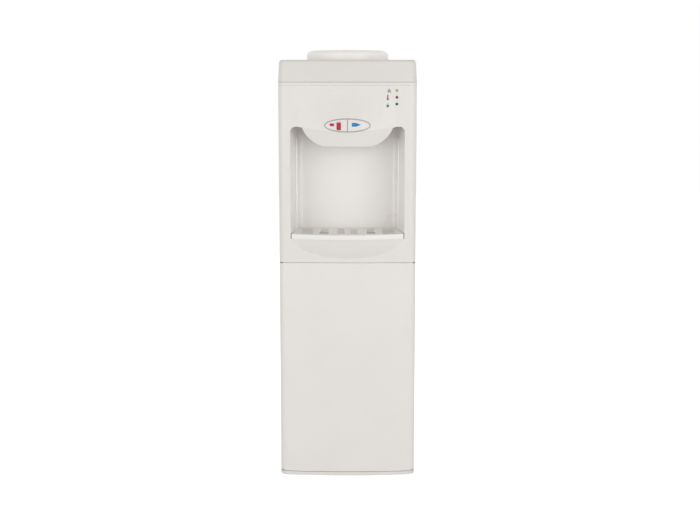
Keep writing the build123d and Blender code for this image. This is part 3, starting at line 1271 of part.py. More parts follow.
PARTS = {
    "base_tray": base_tray,
    "rubber_feet": rubber_feet,
    "left_side_panel": lambda: side_panel(-1),
    "right_side_panel": lambda: side_panel(1),
    "back_panel": back_panel,
    "mid_deck": mid_deck,
    "tank_shelf": tank_shelf,
    "cabinet_liner": cabinet_liner,
    "front_panel": front_panel,
    "alcove_liner": alcove_liner,
    "tap_cover": tap_cover,
    "button_bezel": button_bezel,
    "power_led": lambda: indicator(led_levels()[0]),
    "heating_led": lambda: indicator(led_levels()[1]),
    "cooling_led": lambda: indicator(led_levels()[2]),
    "led_board": led_board,
    "top_cover": top_cover,
    "bottle_collar": bottle_collar,
    "bottle_seat": bottle_seat,
    "bottle_spike": bottle_spike,
    "hot_button": hot_button,
    "child_lock": child_lock,
    "cold_button": lambda: button(1),
    "hot_tap_stem": lambda: tap_stem(-1),
    "cold_tap_stem": lambda: tap_stem(1),
    "hot_tap_spring": lambda: tap_spring(-1),
    "cold_tap_spring": lambda: tap_spring(1),
    "hot_tap_body": lambda: tap_body(-1),
    "cold_tap_body": lambda: tap_body(1),
    "drip_tray": drip_tray,
    "drip_grille": drip_grille,
    "door_panel": door_panel,
    "door_liner": door_liner,
    "door_gasket": door_gasket,
    "door_strike": door_strike,
    "door_magnet": door_magnet,
    "hinge_brackets": hinge_brackets,
    "hinge_pins": hinge_pins,
    "cold_tank": cold_tank,
    "cold_tank_insulation": cold_tank_insulation,
    "evaporator_coil": evaporator_coil,
    "hot_tank": hot_tank,
    "hot_tank_insulation": hot_tank_insulation,
    "heater_band": heater_band,
    "thermostats": thermostats,
    "cold_water_tube": cold_water_tube,
    "hot_water_tube": hot_water_tube,
    "drain_spout": drain_spout,
    "drain_cap": drain_cap,
    "compressor": compressor,
    "compressor_mounts": compressor_mounts,
    "condenser": condenser,
    "condenser_brackets": condenser_brackets,
    "filter_drier": filter_drier,
    "refrigerant_lines": refrigerant_lines,
    "switch_plate": switch_plate,
    "heating_switch": lambda: rocker(rocker_levels()[0]),
    "cooling_switch": lambda: rocker(rocker_levels()[1]),
    "power_inlet": power_inlet,
    "rear_screws": rear_screws,
}

os.makedirs("parts", exist_ok=True)
for name, make in PARTS.items():
    export_step(make(), f"parts/{name}.step")
    print("made", name)
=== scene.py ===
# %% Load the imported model
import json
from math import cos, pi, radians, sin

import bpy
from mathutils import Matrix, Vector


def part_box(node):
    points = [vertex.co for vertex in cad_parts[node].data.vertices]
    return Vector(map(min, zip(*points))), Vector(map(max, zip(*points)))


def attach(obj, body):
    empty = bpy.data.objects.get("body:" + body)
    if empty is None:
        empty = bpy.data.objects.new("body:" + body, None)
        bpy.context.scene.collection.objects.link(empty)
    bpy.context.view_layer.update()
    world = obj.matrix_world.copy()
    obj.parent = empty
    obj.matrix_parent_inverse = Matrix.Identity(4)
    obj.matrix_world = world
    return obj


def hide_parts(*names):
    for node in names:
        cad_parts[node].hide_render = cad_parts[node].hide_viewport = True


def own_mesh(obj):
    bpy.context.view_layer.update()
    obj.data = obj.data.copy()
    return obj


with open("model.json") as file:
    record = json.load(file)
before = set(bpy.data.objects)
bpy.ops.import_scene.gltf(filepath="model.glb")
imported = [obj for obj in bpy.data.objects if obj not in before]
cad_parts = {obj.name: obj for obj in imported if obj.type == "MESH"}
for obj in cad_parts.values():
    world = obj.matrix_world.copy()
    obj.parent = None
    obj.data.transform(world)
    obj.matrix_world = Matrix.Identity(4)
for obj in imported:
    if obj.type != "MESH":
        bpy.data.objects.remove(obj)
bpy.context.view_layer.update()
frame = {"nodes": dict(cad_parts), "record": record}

# %% [markdown]
# # Dressing a white water cooler
# The cabinet, door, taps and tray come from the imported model, already in place and in metres.
# Here they get their finishes, and a few thin pieces are added: wound wire, soft lips, two ribs
# and printed marks. Then come the floor, soft light and a camera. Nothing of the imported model
# is moved or reshaped: only its material slots are filled.

MM = 0.001

# %% [markdown]
# ## Colour and node helpers
# Colours are written as the eye sees them, as hex, because a hex value can be read and
# compared. A shader wants linear light, so one function converts them. Nodes could be added by
# hand in the shader editor, but in code a second function adds any node, sets it and links it,
# and a material then reads as a list of its nodes.


# %% Hex colour to linear light
def linear(code):
    """Hex colour as the eye sees it, turned to linear light by the sRGB curve."""
    parts = [int(code[i:i + 2], 16) / 255 for i in (1, 3, 5)]
    light = [v / 12.92 if v <= 0.04045 else ((v + 0.055) / 1.055) ** 2.4 for v in parts]
    return (*light, 1.0)


WHITE = linear("#ffffff")
print("white in linear light:", WHITE)


# %% Nodes and blank materials
def plug(tree, node, values=None, links=None):
    """Sets a node's sockets, and links other sockets into them."""
    for name, value in (values or {}).items():
        node.inputs[name].default_value = value
    for name, socket in (links or {}).items():
        tree.links.new(socket, node.inputs[name])
    return node


def add(tree, kind, settings=None, values=None, links=None):
    """Adds a node, sets its options and plugs it in."""
    node = tree.nodes.new(kind)
    for name, value in (settings or {}).items():
        setattr(node, name, value)
    return plug(tree, node, values, links)


def blank(name):
    """New material with a surface shader, and its object coordinates."""
    material = bpy.data.materials.new(name)
    material.use_nodes = True
    tree = material.node_tree
    tree.nodes.clear()
    shader = add(tree, "ShaderNodeBsdfPrincipled")
    add(tree, "ShaderNodeOutputMaterial", links={"Surface": shader.outputs[0]})
    place = add(tree, "ShaderNodeTexCoord").outputs["Object"]
    return material, tree, shader, place


# %% [markdown]
# ## One recipe for plain finishes
# Most of the cooler is moulded plastic or powder coat. On both the eye sees three things: a
# fine grain in the highlight, a slow drift of tone, and a gloss that isn't even. Each finish
# could be a tree of its own, but they differ only in their numbers, so one recipe makes them
# all. The real grain is about 0.3 mm, which is too fine to show from three metres, so it is
# drawn a few times coarser. No moulded or painted edge is knife sharp, so a Bevel node rounds
# each edge by half a millimetre or so where light falls on it. A Bevel modifier could cut real
# facets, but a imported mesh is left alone.

# %% The recipe for a grained finish
MIX_A, MIX_B, MIX_COLOUR = 6, 7, 2  # a Mix node's two colour inputs, and its colour output
DRIFT_MM = 90  # from one paler patch to the next
GLOSS_SPREAD = 0.06  # how far the roughness wanders to either side
EDGE_MM = 0.6  # radius that the light finds on an edge


def grained(name, light, dark, rough, grain_mm, depth_mm,
            drift_mm=DRIFT_MM, ior=1.5, metal=0.0):
    """Finish with a bump of one grain size and a slow drift between two colours."""
    material, tree, shader, place = blank(name)
    drift = add(tree, "ShaderNodeTexNoise",
                values={"Scale": 1 / (drift_mm * MM), "Detail": 3.0}, links={"Vector": place})
    tone = add(tree, "ShaderNodeMix", {"data_type": "RGBA"},
               {MIX_A: linear(dark), MIX_B: linear(light)}, {"Factor": drift.outputs["Fac"]})
    gloss = add(tree, "ShaderNodeMapRange",
                values={"To Min": rough - GLOSS_SPREAD, "To Max": rough + GLOSS_SPREAD},
                links={"Value": drift.outputs["Fac"]})
    grain = add(tree, "ShaderNodeTexNoise",
                values={"Scale": 1 / (grain_mm * MM), "Detail": 2.0}, links={"Vector": place})
    edge = add(tree, "ShaderNodeBevel", {"samples": 4}, {"Radius": EDGE_MM * MM})
    bump = add(tree, "ShaderNodeBump", values={"Strength": 0.25, "Distance": depth_mm * MM},
               links={"Height": grain.outputs["Fac"], "Normal": edge.outputs[0]})
    plug(tree, shader, {"IOR": ior, "Metallic": metal},
         {"Base Color": tone.outputs[MIX_COLOUR], "Roughness": gloss.outputs[0],
          "Normal": bump.outputs[0]})
    return material


# %% [markdown]
# ## White mouldings
# The shell, door and buttons are injection-moulded ABS. The bay and the inside of the cabinet
# are vacuum-formed polystyrene sheet (HIPS), and whatever touches water is polypropylene. One
# white would do for all, but some pieces get a tone of their own, close to the others, that
# paints light and shade onto them: painted shade darkens the cover, and painted light lifts the
# door, tray, collar and bay. The rib's near-white tone is a painted highlight. The numbers
# are the pale and the dark tone, the roughness, and the grain's width and depth in mm.

# %% White plastics
ABS, HIPS, POLYPROPYLENE = 1.54, 1.59, 1.49  # how strongly each plastic bends light
FINISH = {
    # the mould's spark-eroded face leaves a soft sheen, on a warm white
    "white_abs": grained("moulded_abs_white", "#dfdcd8", "#dad7d2", 0.42, 1.2, 0.03, ior=ABS),
    # painted shade: the cover is toned darker, for the shade over the top of the cooler
    "cover_abs_painted_shade": grained("moulded_abs_cover_painted_shade", "#d8d5d0", "#d3d0cb", 0.42, 1.2, 0.03, ior=ABS),
    # painted light: the door is a shade lighter than the fascia over it, to make up for the lamps
    # lighting it less
    "door_abs_painted_light": grained("moulded_abs_door_painted_light", "#e3e0dc", "#dedbd6", 0.42, 1.2, 0.03, ior=ABS),
    # painted light: the tray is lighter again, which lifts its thin lip out of the bay's shade
    "tray_abs_painted_light": grained("moulded_abs_tray_painted_light", "#e9e6e2", "#e4e1dd", 0.42, 1.2, 0.03, ior=ABS),
    # painted light: the collar is the whitest, for the light that falls on it from above, and
    # hands on bottles keep it a little shinier
    "collar_abs_painted_light": grained("moulded_abs_collar_painted_light", "#f6f3ef", "#f1eeea", 0.34, 1.2, 0.03, ior=ABS),
    # fingers polish the keys: almost no grain, and a tighter highlight
    "button_plastic": grained("moulded_abs_button", "#e0ddda", "#dbd8d4", 0.30, 1.0, 0.01,
                              ior=ABS),
    # sheet drawn over a smooth mould: the bay shines softly, and its lighter tone is painted
    # light that lifts the shade in the bay and in the grille's slots
    "bay_hips_painted_light": grained("vacuum_formed_bay_painted_light", "#f0ede9", "#ece9e5", 0.30, 2.0, 0.03, ior=HIPS),
    # over a rib the sheet is glossy, and its near-white tone is a painted highlight, a bright
    # line up the wall
    "rib_painted_highlight": grained("vacuum_formed_rib_painted_highlight", "#fbf9f6", "#f7f5f1", 0.18, 2.0, 0.02, ior=HIPS),
    # inside the cabinet the sheet has a rougher grain, and is duller
    "liner_plastic": grained("vacuum_formed_hips", "#ebe9e5", "#e4e2de", 0.45, 2.0, 0.04,
                             ior=HIPS),
    # polypropylene looks waxy, with a broad and quiet highlight
    "food_plastic": grained("moulded_polypropylene", "#eceae6", "#e2e0db", 0.50, 1.6, 0.03,
                            ior=POLYPROPYLENE),
}
print("white plastics:", len(FINISH))

# %% [markdown]
# ## Paint, rubber and small coloured parts
# The steel sides are powder coated, and the compressor is stoved black. A paint film flows
# before it sets, which leaves the wide, shallow ripple known as orange peel. It could be built
# as a clear coat over a base, but from three metres only the ripple shows, so the same recipe
# does, with a coarser grain. Rubber has a fine, deep grain and hardly shines. The small parts
# are dyed through and moulded smooth.

# %% Paints, rubbers and coloured plastics
RUBBER, SILICONE = 1.52, 1.41
FINISH.update({
    # powder coat: round, wide orange peel on warm white
    "painted_steel": grained("powder_coat_white", "#e3e0db", "#dedad5", 0.38, 2.5, 0.04),
    # stoved paint: black, with a duller and tighter peel
    "black_paint": grained("stoved_black_paint", "#1f1f20", "#151516", 0.40, 1.8, 0.03),
    # feet and mounts: matt, with a bloom that greys the black
    "rubber": grained("moulded_black_rubber", "#232323", "#191919", 0.75, 0.9, 0.05,
                      ior=RUBBER),
    # the door's seal: soft grey, dull
    "gasket_rubber": grained("extruded_grey_gasket", "#c9c7c2", "#bdbab5", 0.62, 1.0, 0.03),
    # the lips round the door: white, dull
    "white_lip": grained("extruded_white_lip", "#f4f1ed", "#eceae5", 0.55, 1.0, 0.02),
    # water tubes: milky, with a wet shine
    "silicone": grained("extruded_silicone", "#dedcd8", "#d2d0cb", 0.40, 1.4, 0.02,
                        ior=SILICONE),
    # the frame round the buttons: mid grey satin
    "bezel_grey": grained("moulded_grey_bezel", "#b0aba7", "#a19c98", 0.35, 1.0, 0.02),
    # the child lock: a strong red that shines
    "lock_red": grained("moulded_red_lock", "#c00a26", "#b00820", 0.30, 0.9, 0.01),
    # inlet, magnet and brackets: nylon, black and satin
    "black_plastic": grained("moulded_black_nylon", "#262626", "#1b1b1b", 0.48, 1.0, 0.03),
    # the rockers: polished, so that the highlight is small
    "switch_red": grained("moulded_red_rocker", "#c22a2a", "#ad2020", 0.28, 1.0, 0.01),
    "switch_green": grained("moulded_green_rocker", "#2c8f47", "#227a3a", 0.28, 1.0, 0.01),
    # the lamps' board: green resist over copper, glossy and a little uneven
    "board": grained("solder_resist_green", "#1e5b34", "#174a2a", 0.35, 1.5, 0.02),
})
print("with paints, rubbers and coloured parts:", len(FINISH))

# %% [markdown]
# ## Copper and zinc
# Copper tube darkens in patches where hands and heat have been, and zinc plate dries in small
# crystals of lighter and darker grey. Both could be drawn with a cell pattern, but the parts
# are thin, and a quick drift between two tones reads the same.

# %% Bare metals
COPPER_PATCH_MM, ZINC_CRYSTAL_MM = 25, 12
FINISH.update({
    # drawn copper: warm, satin, with slow darker patches
    "copper": grained("drawn_copper_tube", "#c98a66", "#a86f50", 0.28, 3.0, 0.02,
                      drift_mm=COPPER_PATCH_MM, metal=1.0),
    # zinc plate: cool grey that changes every few millimetres
    "zinc_steel": grained("zinc_plated_steel", "#c2c4c6", "#a9abad", 0.32, 2.0, 0.02,
                          drift_mm=ZINC_CRYSTAL_MM, metal=1.0),
})
print("grained finishes:", len(FINISH))

# %% [markdown]
# ## Beaded foam
# The jackets of the tanks are expanded polystyrene, which is welded from beads about 4 mm
# across. A noise would give it a grain, but not the cells that everybody knows, so a Voronoi
# pattern draws them: pale in the middle of a bead, darker and lower where two beads meet.


# %% Foam
def beaded(name, light, dark, bead_mm):
    """Foam of welded beads, darker where they meet."""
    weld = 0.12  # share of a bead's width that its weld takes
    material, tree, shader, place = blank(name)
    cells = add(tree, "ShaderNodeTexVoronoi", {"feature": "DISTANCE_TO_EDGE"},
                {"Scale": 1 / (bead_mm * MM)}, {"Vector": place})
    edge = add(tree, "ShaderNodeMapRange", values={"From Max": weld},
               links={"Value": cells.outputs[0]})
    tone = add(tree, "ShaderNodeMix", {"data_type": "RGBA"},
               {MIX_A: linear(dark), MIX_B: linear(light)}, {"Factor": edge.outputs[0]})
    bump = add(tree, "ShaderNodeBump", values={"Strength": 0.5, "Distance": 0.3 * MM},
               links={"Height": edge.outputs[0]})
    plug(tree, shader, {"Roughness": 0.8},
         {"Base Color": tone.outputs[MIX_COLOUR], "Normal": bump.outputs[0]})
    return material


FINISH["foam"] = beaded("expanded_polystyrene", "#f4f3f0", "#dedcd8", bead_mm=4.0)
print("foam beads of 4 mm")

# %% [markdown]
# ## Brushed steel
# The tanks, springs and pins are stainless steel, brushed one way. An anisotropic shader could
# bend the highlight, but most of this steel is out of sight, so a noise that is stretched
# along the scratches is enough. It moves both the tone and the gloss. Real scratches are far
# under a tenth of a millimetre, and are drawn 0.8 mm wide so that they show.


# %% Steel
def brushed(name, light, dark, scratch_mm):
    """Steel with scratches that run level, round or across the piece."""
    stretched = (0.05, 0.05, 1.0)  # twenty times as long as wide
    material, tree, shader, place = blank(name)
    along = add(tree, "ShaderNodeMapping", values={"Scale": stretched}, links={"Vector": place})
    lines = add(tree, "ShaderNodeTexNoise",
                values={"Scale": 1 / (scratch_mm * MM), "Detail": 4.0},
                links={"Vector": along.outputs[0]})
    tone = add(tree, "ShaderNodeMix", {"data_type": "RGBA"},
               {MIX_A: linear(dark), MIX_B: linear(light)}, {"Factor": lines.outputs["Fac"]})
    gloss = add(tree, "ShaderNodeMapRange", values={"To Min": 0.22, "To Max": 0.42},
                links={"Value": lines.outputs["Fac"]})
    plug(tree, shader, {"Metallic": 1.0},
         {"Base Color": tone.outputs[MIX_COLOUR], "Roughness": gloss.outputs[0]})
    return material


FINISH["steel"] = brushed("brushed_stainless_steel", "#c6c6c7", "#a4a4a6", scratch_mm=0.8)
print("steel scratches of 0.8 mm")

# %% [markdown]
# ## Lamp lenses
# The three lamps are domes of clear, dyed epoxy, and none of them is lit. They could be made
# see-through, but they are only a few pixels across. A dyed plastic under a clear coat gives
# the same bright point, and the swirl between two tones hints at depth.


# %% Lenses
def lamp(name, colour):
    """Dyed lens, a little darker in its depth, with a clear and shiny skin."""
    swirl_mm, depth_tone = 2, 0.75
    deep = tuple(depth_tone * part for part in linear(colour)[:3]) + (1.0,)
    material, tree, shader, place = blank(name)
    swirl = add(tree, "ShaderNodeTexNoise", values={"Scale": 1 / (swirl_mm * MM)},
                links={"Vector": place})
    tone = add(tree, "ShaderNodeMix", {"data_type": "RGBA"},
               {MIX_A: deep, MIX_B: linear(colour)}, {"Factor": swirl.outputs["Fac"]})
    plug(tree, shader, {"Roughness": 0.18, "Coat Weight": 0.6},
         {"Base Color": tone.outputs[MIX_COLOUR]})
    return material


FINISH["lamp_yellow"] = lamp("lens_amber", "#b8a35a")
FINISH["lamp_red"] = lamp("lens_red", "#8c1d36")
FINISH["lamp_green"] = lamp("lens_green", "#1d5a3c")
print("finishes in all:", len(FINISH))

# %% [markdown]
# ## Finishes on the imported nodes
# Each node names a material slot in the record, so one loop gives every node its finish. They
# could be assigned one by one, but the record already says what each is made of. A few
# mouldings get a tone of their own, which paints light and shade on them, and the sheet decks
# are coated like the sides.

# %% Give every node its finish
# pieces whose tone paints light and shade, and the sheet decks in white powder coat
PAINTED_LIGHT_AND_COATS = {
    "top_cover": "cover_abs_painted_shade",
    "door_panel": "door_abs_painted_light",
    "bottle_collar": "collar_abs_painted_light",
    "alcove_liner": "bay_hips_painted_light",
    "drip_grille": "bay_hips_painted_light",
    "drip_tray": "tray_abs_painted_light",
    "mid_deck": "painted_steel",
    "tank_shelf": "painted_steel",
}
for row in frame["record"]["subparts"]:
    finish = FINISH[PAINTED_LIGHT_AND_COATS.get(row["node"], row["material_slot"])]
    for slot in frame["nodes"][row["node"]].material_slots:
        slot.material = finish

# %% [markdown]
# ## Helpers for new pieces
# A new piece starts as a primitive at its size and place. Whatever is still selected would be
# changed with it, so everything is let go first. A piece could keep its place on its object,
# but then a pattern on object coordinates would slide, so the place goes into the mesh.


# %% Start, settle and shape a piece
def let_go():
    """Deselects everything, so that the next primitive is selected alone."""
    bpy.ops.object.select_all(action="DESELECT")


def settle(name):
    """Names the piece just added, and puts its place, turn and size into its mesh."""
    piece = bpy.context.object
    piece.name = name
    bpy.ops.object.transform_apply(location=True, rotation=True, scale=True)
    return piece


def shape_with(piece, kind, **settings):
    """Adds a modifier to the piece, sets it and applies it."""
    modifier = piece.modifiers.new(kind.lower(), kind)
    for name, value in settings.items():
        setattr(modifier, name, value)
    bpy.ops.object.modifier_apply(modifier=modifier.name)


# %% [markdown]
# ## Windings
# A copper tube is wound round the cold tank, and a wire spring holds each tap shut. The packed
# model keeps them as plain sleeves, and here each becomes the winding that it stands for. A
# curve along a helix would do as well, but a Screw modifier, which carries a small circle round
# an axis, needs only the number of turns and the rise of each. The open ends are then filled.

# %% Wire wound inside a node's sleeve
WIRE_SIDES = 10


def winding(name, node, axis, wire_mm, pitch_mm, steps, finish):
    """Round wire wound about an axis, as wide and as long as the node it stands for."""
    low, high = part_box(node)
    along = "XYZ".index(axis)
    radius = wire_mm * MM / 2
    rise = high[along] - low[along] - 2 * radius
    turns = round(rise / (pitch_mm * MM))
    let_go()
    bpy.ops.mesh.primitive_circle_add(vertices=WIRE_SIDES, radius=radius,
                                      rotation=(pi / 2 if axis == "Z" else 0, 0, 0))
    coil = settle(name)
    for vertex in coil.data.vertices:
        vertex.co.x += (high.x - low.x) / 2 - radius
    shape_with(coil, "SCREW", axis=axis, iterations=turns, screw_offset=rise / turns,
               steps=steps, render_steps=steps)
    bpy.ops.object.mode_set(mode="EDIT")
    bpy.ops.mesh.select_all(action="SELECT")
    bpy.ops.mesh.fill_holes(sides=0)
    bpy.ops.mesh.select_all(action="SELECT")
    bpy.ops.mesh.normals_make_consistent(inside=False)
    bpy.ops.object.mode_set(mode="OBJECT")
    start = (low + high) / 2
    start[along] = low[along] + radius
    coil.location = start
    settle(name)
    coil.data.materials.append(FINISH[finish])
    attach(coil, "cabinet")
    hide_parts(node)
    print("wound", name, turns, "turns")
    return coil


winding("evaporator_winding", "evaporator_coil", "Z",
        wire_mm=4.0, pitch_mm=5.0, steps=64, finish="copper")

# %% [markdown]
# ## Springs of the taps
# Behind each button a stem opens the tap against a spring of steel wire. Each spring is wound
# whole, in place of its sleeve, and stays with the cabinet.

# %% A spring for each tap
for side in ("hot", "cold"):
    spring = winding(side + "_spring_wire", side + "_tap_spring", "Y",
                     wire_mm=0.9, pitch_mm=2.2, steps=32, finish="steel")
    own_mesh(spring)

# %% [markdown]
# ## Lips of the door
# A soft white lip lines the gaps over and under the door, set back a little, so that they read
# as fine grey lines and not as black slots. A profile could be swept along the edge, but a flat
# ribbon wrapped onto the door follows its bow by itself. It is wrapped a little inside the
# edge, where the face isn't rounded yet, then moved out past the edge and thickened.

# %% Soft lip along an edge of the door
LIP_LONG = 0.316  # stops short of the door's rounded sides
LIP_HIGH, LIP_THICK = 2.1 * MM, 1.6 * MM
LIP_SET_BACK = 1.2 * MM
LIP_INSIDE = 3.5 * MM  # how far inside the edge it is wrapped
IN_FRONT = 0.01  # where a flat piece starts, ahead of what it is wrapped onto


def door_lip(name, edge, outward):
    """Ribbon wrapped onto the door's face, then moved to its upper or lower edge."""
    let_go()
    bpy.ops.mesh.primitive_grid_add(
        x_subdivisions=60, y_subdivisions=1, size=1, rotation=(pi / 2, 0, 0),
        location=(0, door_low.y - IN_FRONT, edge - outward * LIP_INSIDE))
    bpy.context.object.scale = (LIP_LONG, LIP_HIGH, 1)
    lip = settle(name)
    shape_with(lip, "SHRINKWRAP", target=frame["nodes"]["door_panel"],
               wrap_method="PROJECT", use_project_y=True)
    for vertex in lip.data.vertices:
        vertex.co.y += LIP_SET_BACK
        vertex.co.z += outward * (LIP_INSIDE + LIP_HIGH / 2)
    shape_with(lip, "SOLIDIFY", thickness=LIP_THICK, offset=-1)
    lip.data.materials.append(FINISH["white_lip"])
    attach(lip, "door")
    print("lip", name, "from", [round(v, 4) for v in lip.bound_box[0]],
          "to", [round(v, 4) for v in lip.bound_box[6]])


door_low, door_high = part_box("door_panel")
door_lip("door_lip_upper", door_high.z, 1)
door_lip("door_lip_lower", door_low.z, -1)

# %% [markdown]
# ## Ribs of the bay
# A slim rib runs up each side wall of the bay and catches the light, and its near-white finish
# paints a highlight along it. It could be pulled out of the wall's own mesh, but an imported
# mesh is left alone. So it is a round bar, sunk half into the wall, whose ends a Bevel rounds.

# %% Ribs on the side walls of the bay
RIB_RADIUS, RIB_ROUND = 3 * MM, 2.6 * MM
RIB_LONG = 0.23  # from the tray up to the hollow under the brow
RIB_X, RIB_Y, RIB_Z = 0.1268, -0.066, 0.721  # its middle, in the face of the wall
SHARP = radians(60)  # only the rims of the two ends are sharper


def bay_rib(name, side):
    """Half-sunk round rib on one side wall, -1 for left and 1 for right."""
    let_go()
    bpy.ops.mesh.primitive_cylinder_add(vertices=24, radius=RIB_RADIUS, depth=RIB_LONG,
                                        location=(side * RIB_X, RIB_Y, RIB_Z))
    rib = settle(name)
    shape_with(rib, "BEVEL", width=RIB_ROUND, segments=5,
               limit_method="ANGLE", angle_limit=SHARP)
    bpy.ops.object.shade_smooth()
    # near-white finish: a painted highlight along the rib
    rib.data.materials.append(FINISH["rib_painted_highlight"])
    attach(rib, "cabinet")
    print("rib", name, len(rib.data.polygons), "faces")


bay_rib("bay_rib_left", -1)
bay_rib("bay_rib_right", 1)

# %% [markdown]
# ## Printed marks
# The buttons carry a red and a blue arrow, and each lamp has a small symbol beside it. They
# are pad printed: a film of ink far thinner than a hair. A texture would do as well, but a film
# keeps its edge sharp at any distance. Each one starts as a flat circle, whose points are set
# on the mark's outline. It is cut finer in edit mode and wrapped onto the plastic.

# %% Ink and the printed mark
FILM_MM = 0.12  # thicker than real ink, so that it doesn't sink into the plastic
FILM_CUTS = 5  # extra points along each edge, to follow a bowed face


def ink(name, colour):
    """Printing ink, a little uneven where the pad left less."""
    return grained(name, colour, colour, 0.45, 0.8, 0.005, drift_mm=6)


def printed(name, outline, target, body, material):
    """Film of ink with an outline in x and z millimetres, wrapped onto a node's front."""
    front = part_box(target)[0].y - IN_FRONT
    let_go()
    bpy.ops.mesh.primitive_circle_add(vertices=len(outline), radius=0.01, fill_type="NGON",
                                      location=(0, front, 0), rotation=(pi / 2, 0, 0))
    mark = settle(name)
    for vertex, (x, z) in zip(mark.data.vertices, outline):
        vertex.co.x = x * MM
        vertex.co.z = z * MM
    bpy.ops.object.mode_set(mode="EDIT")
    bpy.ops.mesh.select_all(action="SELECT")
    bpy.ops.mesh.quads_convert_to_tris()
    bpy.ops.mesh.subdivide(number_cuts=FILM_CUTS)
    bpy.ops.mesh.normals_make_consistent(inside=False)
    bpy.ops.object.mode_set(mode="OBJECT")
    shape_with(mark, "SHRINKWRAP", target=frame["nodes"][target], wrap_method="PROJECT",
               use_project_y=True, use_positive_direction=True,
               use_negative_direction=False, offset=FILM_MM * MM)
    mark.data.materials.append(material)
    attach(mark, body)
    print("printed", name, len(mark.data.vertices), "points")


# %% Places and outlines, in millimetres
def middle_z(node):
    """Height of a node's middle."""
    low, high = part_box(node)
    return (low.z + high.z) / 2 / MM


def moved(outline, x, z):
    """The same outline at another place."""
    return [(px + x, pz + z) for px, pz in outline]


def oval(rx, rz, count=20):
    """Oval outline about nought."""
    turns = [2 * pi * i / count for i in range(count)]
    return [(rx * cos(turn), rz * sin(turn)) for turn in turns]


# %% [markdown]
# ## Arrows on the buttons
# The red arrow points left and the blue one right, both a little over the middle of their
# lens. They could be built from a triangle and a bar, but one outline leaves no seam between
# them. Each rides on its button, so that it moves when the button is pressed.

# %% Arrows
ARROW_Z = middle_z("button_bezel") + 1.4
HOT_ARROW = [(-44.3, 0), (-38.4, 4.6), (-38.4, 3.4), (-31.9, 3.4),
             (-31.9, -3.4), (-38.4, -3.4), (-38.4, -4.6)]
COLD_ARROW = [(10.2, 4.4), (20.0, 4.8), (31.0, 0.4),
              (31.0, -0.6), (20.0, -4.4), (10.2, -4.2)]
printed("hot_arrow", moved(HOT_ARROW, 0, ARROW_Z), "hot_button", "hot_button",
        ink("ink_red", "#bd1236"))
printed("cold_arrow", moved(COLD_ARROW, 0, ARROW_Z), "cold_button", "cold_button",
        ink("ink_blue", "#0a7ab8"))

# %% [markdown]
# ## Symbols beside the lamps
# A grey bell stands for mains, a red thermometer for heating and a blue-green drop for
# cooling. Each could be drawn at its place, but drawn about its own middle and then moved to
# the height of its lamp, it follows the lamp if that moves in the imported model.

# %% Symbols
BELL_X, SYMBOL_X = 99.6, 96.2
BELL = [(-4.8, -4.6), (4.8, -4.6), (3.2, 1.0), (0, 5.4), (-3.2, 1.0)]
TUBE, BULB, DROP = oval(1.6, 5.4), oval(2.6, 2.6), oval(3.4, 3.4, count=16)
DROP[4] = (0, 7.6)  # its highest point, pulled up to a tip
POWER_Z, HEAT_Z, COOL_Z = [middle_z(kind + "_led") for kind in ("power", "heating", "cooling")]
GREY, RED = ink("ink_grey", "#9a978d"), ink("ink_dark_red", "#b03a55")
TEAL = ink("ink_teal", "#3f8288")
for name, outline, colour in (
        ("mains_symbol", moved(BELL, BELL_X, POWER_Z), GREY),
        ("heating_symbol_tube", moved(TUBE, SYMBOL_X, HEAT_Z + 1.8), RED),
        ("heating_symbol_bulb", moved(BULB, SYMBOL_X, HEAT_Z - 4.4), RED),
        ("cooling_symbol", moved(DROP, SYMBOL_X, COOL_Z - 4.6), TEAL)):
    printed(name, outline, "front_panel", "cabinet", colour)

# %% [markdown]
# ## Paper floor
# The cooler stands on a sweep of white paper. The white has to come from colour, and not from
# more light on the cooler, so the paper adds a glow of its own that only the camera sees. It
# lifts the lit paper to white and leaves the shadow round the feet. A plain white plane would
# come out grey.

# %% Floor
FLOOR_SIZE, FLOOR_DROP = 14, 0.0002  # metres; the drop keeps it clear of the feet
FIBRE_MM, FUZZ_MM = 3, 0.05  # real fibres are finer, and wouldn't show
PAPER_GLOW = 0.62
let_go()
bpy.ops.mesh.primitive_plane_add(size=FLOOR_SIZE, location=(0, 0, -FLOOR_DROP))
floor = bpy.context.object
floor.name = "floor"
paper, tree, shader, place = blank("white_paper_sweep")
fibre = add(tree, "ShaderNodeTexNoise", values={"Scale": 1 / (FIBRE_MM * MM)},
            links={"Vector": place})
fuzz = add(tree, "ShaderNodeBump", values={"Strength": 0.1, "Distance": FUZZ_MM * MM},
           links={"Height": fibre.outputs["Fac"]})
ray = add(tree, "ShaderNodeLightPath")
glow = add(tree, "ShaderNodeMath", {"operation": "MULTIPLY"}, {1: PAPER_GLOW},
           {0: ray.outputs["Is Camera Ray"]})
plug(tree, shader,
     {"Base Color": linear("#f4f4f4"), "Roughness": 0.9, "Emission Color": WHITE},
     {"Normal": fuzz.outputs[0], "Emission Strength": glow.outputs[0]})
floor.data.materials.append(paper)
print("floor of", FLOOR_SIZE, "metres")

# %% [markdown]
# ## Studio around the cooler
# The world is plain white to the camera, in reflections and through glass, but the light that
# it sends to the cooler is softer. One even grey would do, but in a real studio more light
# comes off the walls than off the ceiling, and edges that turn upwards are then a little
# darker. So its strength falls from WALL_LIGHT at the horizon to CEILING_LIGHT overhead.

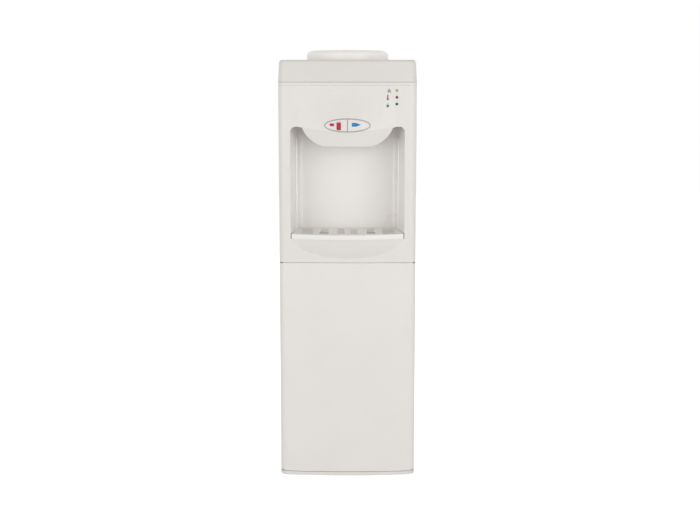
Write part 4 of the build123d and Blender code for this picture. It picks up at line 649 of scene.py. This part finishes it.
# %% World
WALL_LIGHT, CEILING_LIGHT = 1.15, 0.42
world = bpy.data.worlds.new("studio")
bpy.context.scene.world = world
world.use_nodes = True
tree = world.node_tree
tree.nodes.clear()
ray = add(tree, "ShaderNodeLightPath")
mirrored = add(tree, "ShaderNodeMath", {"operation": "MAXIMUM"},
               links={0: ray.outputs["Is Glossy Ray"], 1: ray.outputs["Is Transmission Ray"]})
seen = add(tree, "ShaderNodeMath", {"operation": "MAXIMUM"},
           links={0: ray.outputs["Is Camera Ray"], 1: mirrored.outputs[0]})
way = add(tree, "ShaderNodeSeparateXYZ",
          links={0: add(tree, "ShaderNodeTexCoord").outputs["Generated"]})
level = add(tree, "ShaderNodeMapRange",
            values={"To Min": WALL_LIGHT, "To Max": CEILING_LIGHT},
            links={"Value": way.outputs["Z"]})
soft = add(tree, "ShaderNodeBackground", values={"Color": WHITE},
           links={"Strength": level.outputs[0]})
white = add(tree, "ShaderNodeBackground", values={"Color": WHITE, "Strength": 1.0})
sky = add(tree, "ShaderNodeMixShader",
          links={0: seen.outputs[0], 1: soft.outputs[0], 2: white.outputs[0]})
add(tree, "ShaderNodeOutputWorld", links={"Surface": sky.outputs[0]})
print("world nodes:", len(tree.nodes))

# %% [markdown]
# ## Soft boxes
# A catalogue picture is lit from large soft boxes, so that nothing casts a hard shadow. One
# over the camera would do, but the brow would then shade the bay. So two stand left and right
# of the camera, both lower than the cooler's top, and light the front evenly down into the
# bay. Only what turns upwards or sideways gets darker, such as the rim of the collar.

# %% Lamps
BOX_SIZE = 2.0
BOX_AIM = Vector((0, 0, 0.5))


def soft_box(name, spot, watts):
    """Square area lamp that looks at the middle of the cooler."""
    data = bpy.data.lights.new(name, "AREA")
    data.size = BOX_SIZE
    data.energy = watts
    box = bpy.data.objects.new(name, data)
    bpy.context.scene.collection.objects.link(box)
    box.location = spot
    box.rotation_euler = (BOX_AIM - Vector(spot)).to_track_quat("-Z", "Y").to_euler()
    print("soft box", name, "of", watts, "W at", spot)


soft_box("key_box", (2.3, -3.4, 0.9), watts=29)
soft_box("fill_box", (-2.3, -3.4, 0.6), watts=27)

# %% [markdown]
# ## Camera
# The camera stands 3 m from the front, 1 m up, and looks down a little. It could be placed by
# eye, but the outline in the photograph fixes it, so the height, tilt and lens were found by
# matching that outline.

# %% Camera
FRAME_PX = 700  # width of the photograph
LENS_PX = 1244.0  # focal length, counted in its pixels
EYE = (0.006, -3.149, 1.0)
TILT = 8.76  # degrees down from level
camera = bpy.data.cameras.new("camera")
camera.sensor_width = 36
camera.lens = LENS_PX * camera.sensor_width / FRAME_PX
eye = bpy.data.objects.new("camera", camera)
bpy.context.scene.collection.objects.link(eye)
eye.location = EYE
eye.rotation_euler = (radians(90 - TILT), 0, 0)
bpy.context.scene.camera = eye
bpy.context.scene.view_settings.view_transform = "Standard"
print("lens in mm:", round(camera.lens, 2))
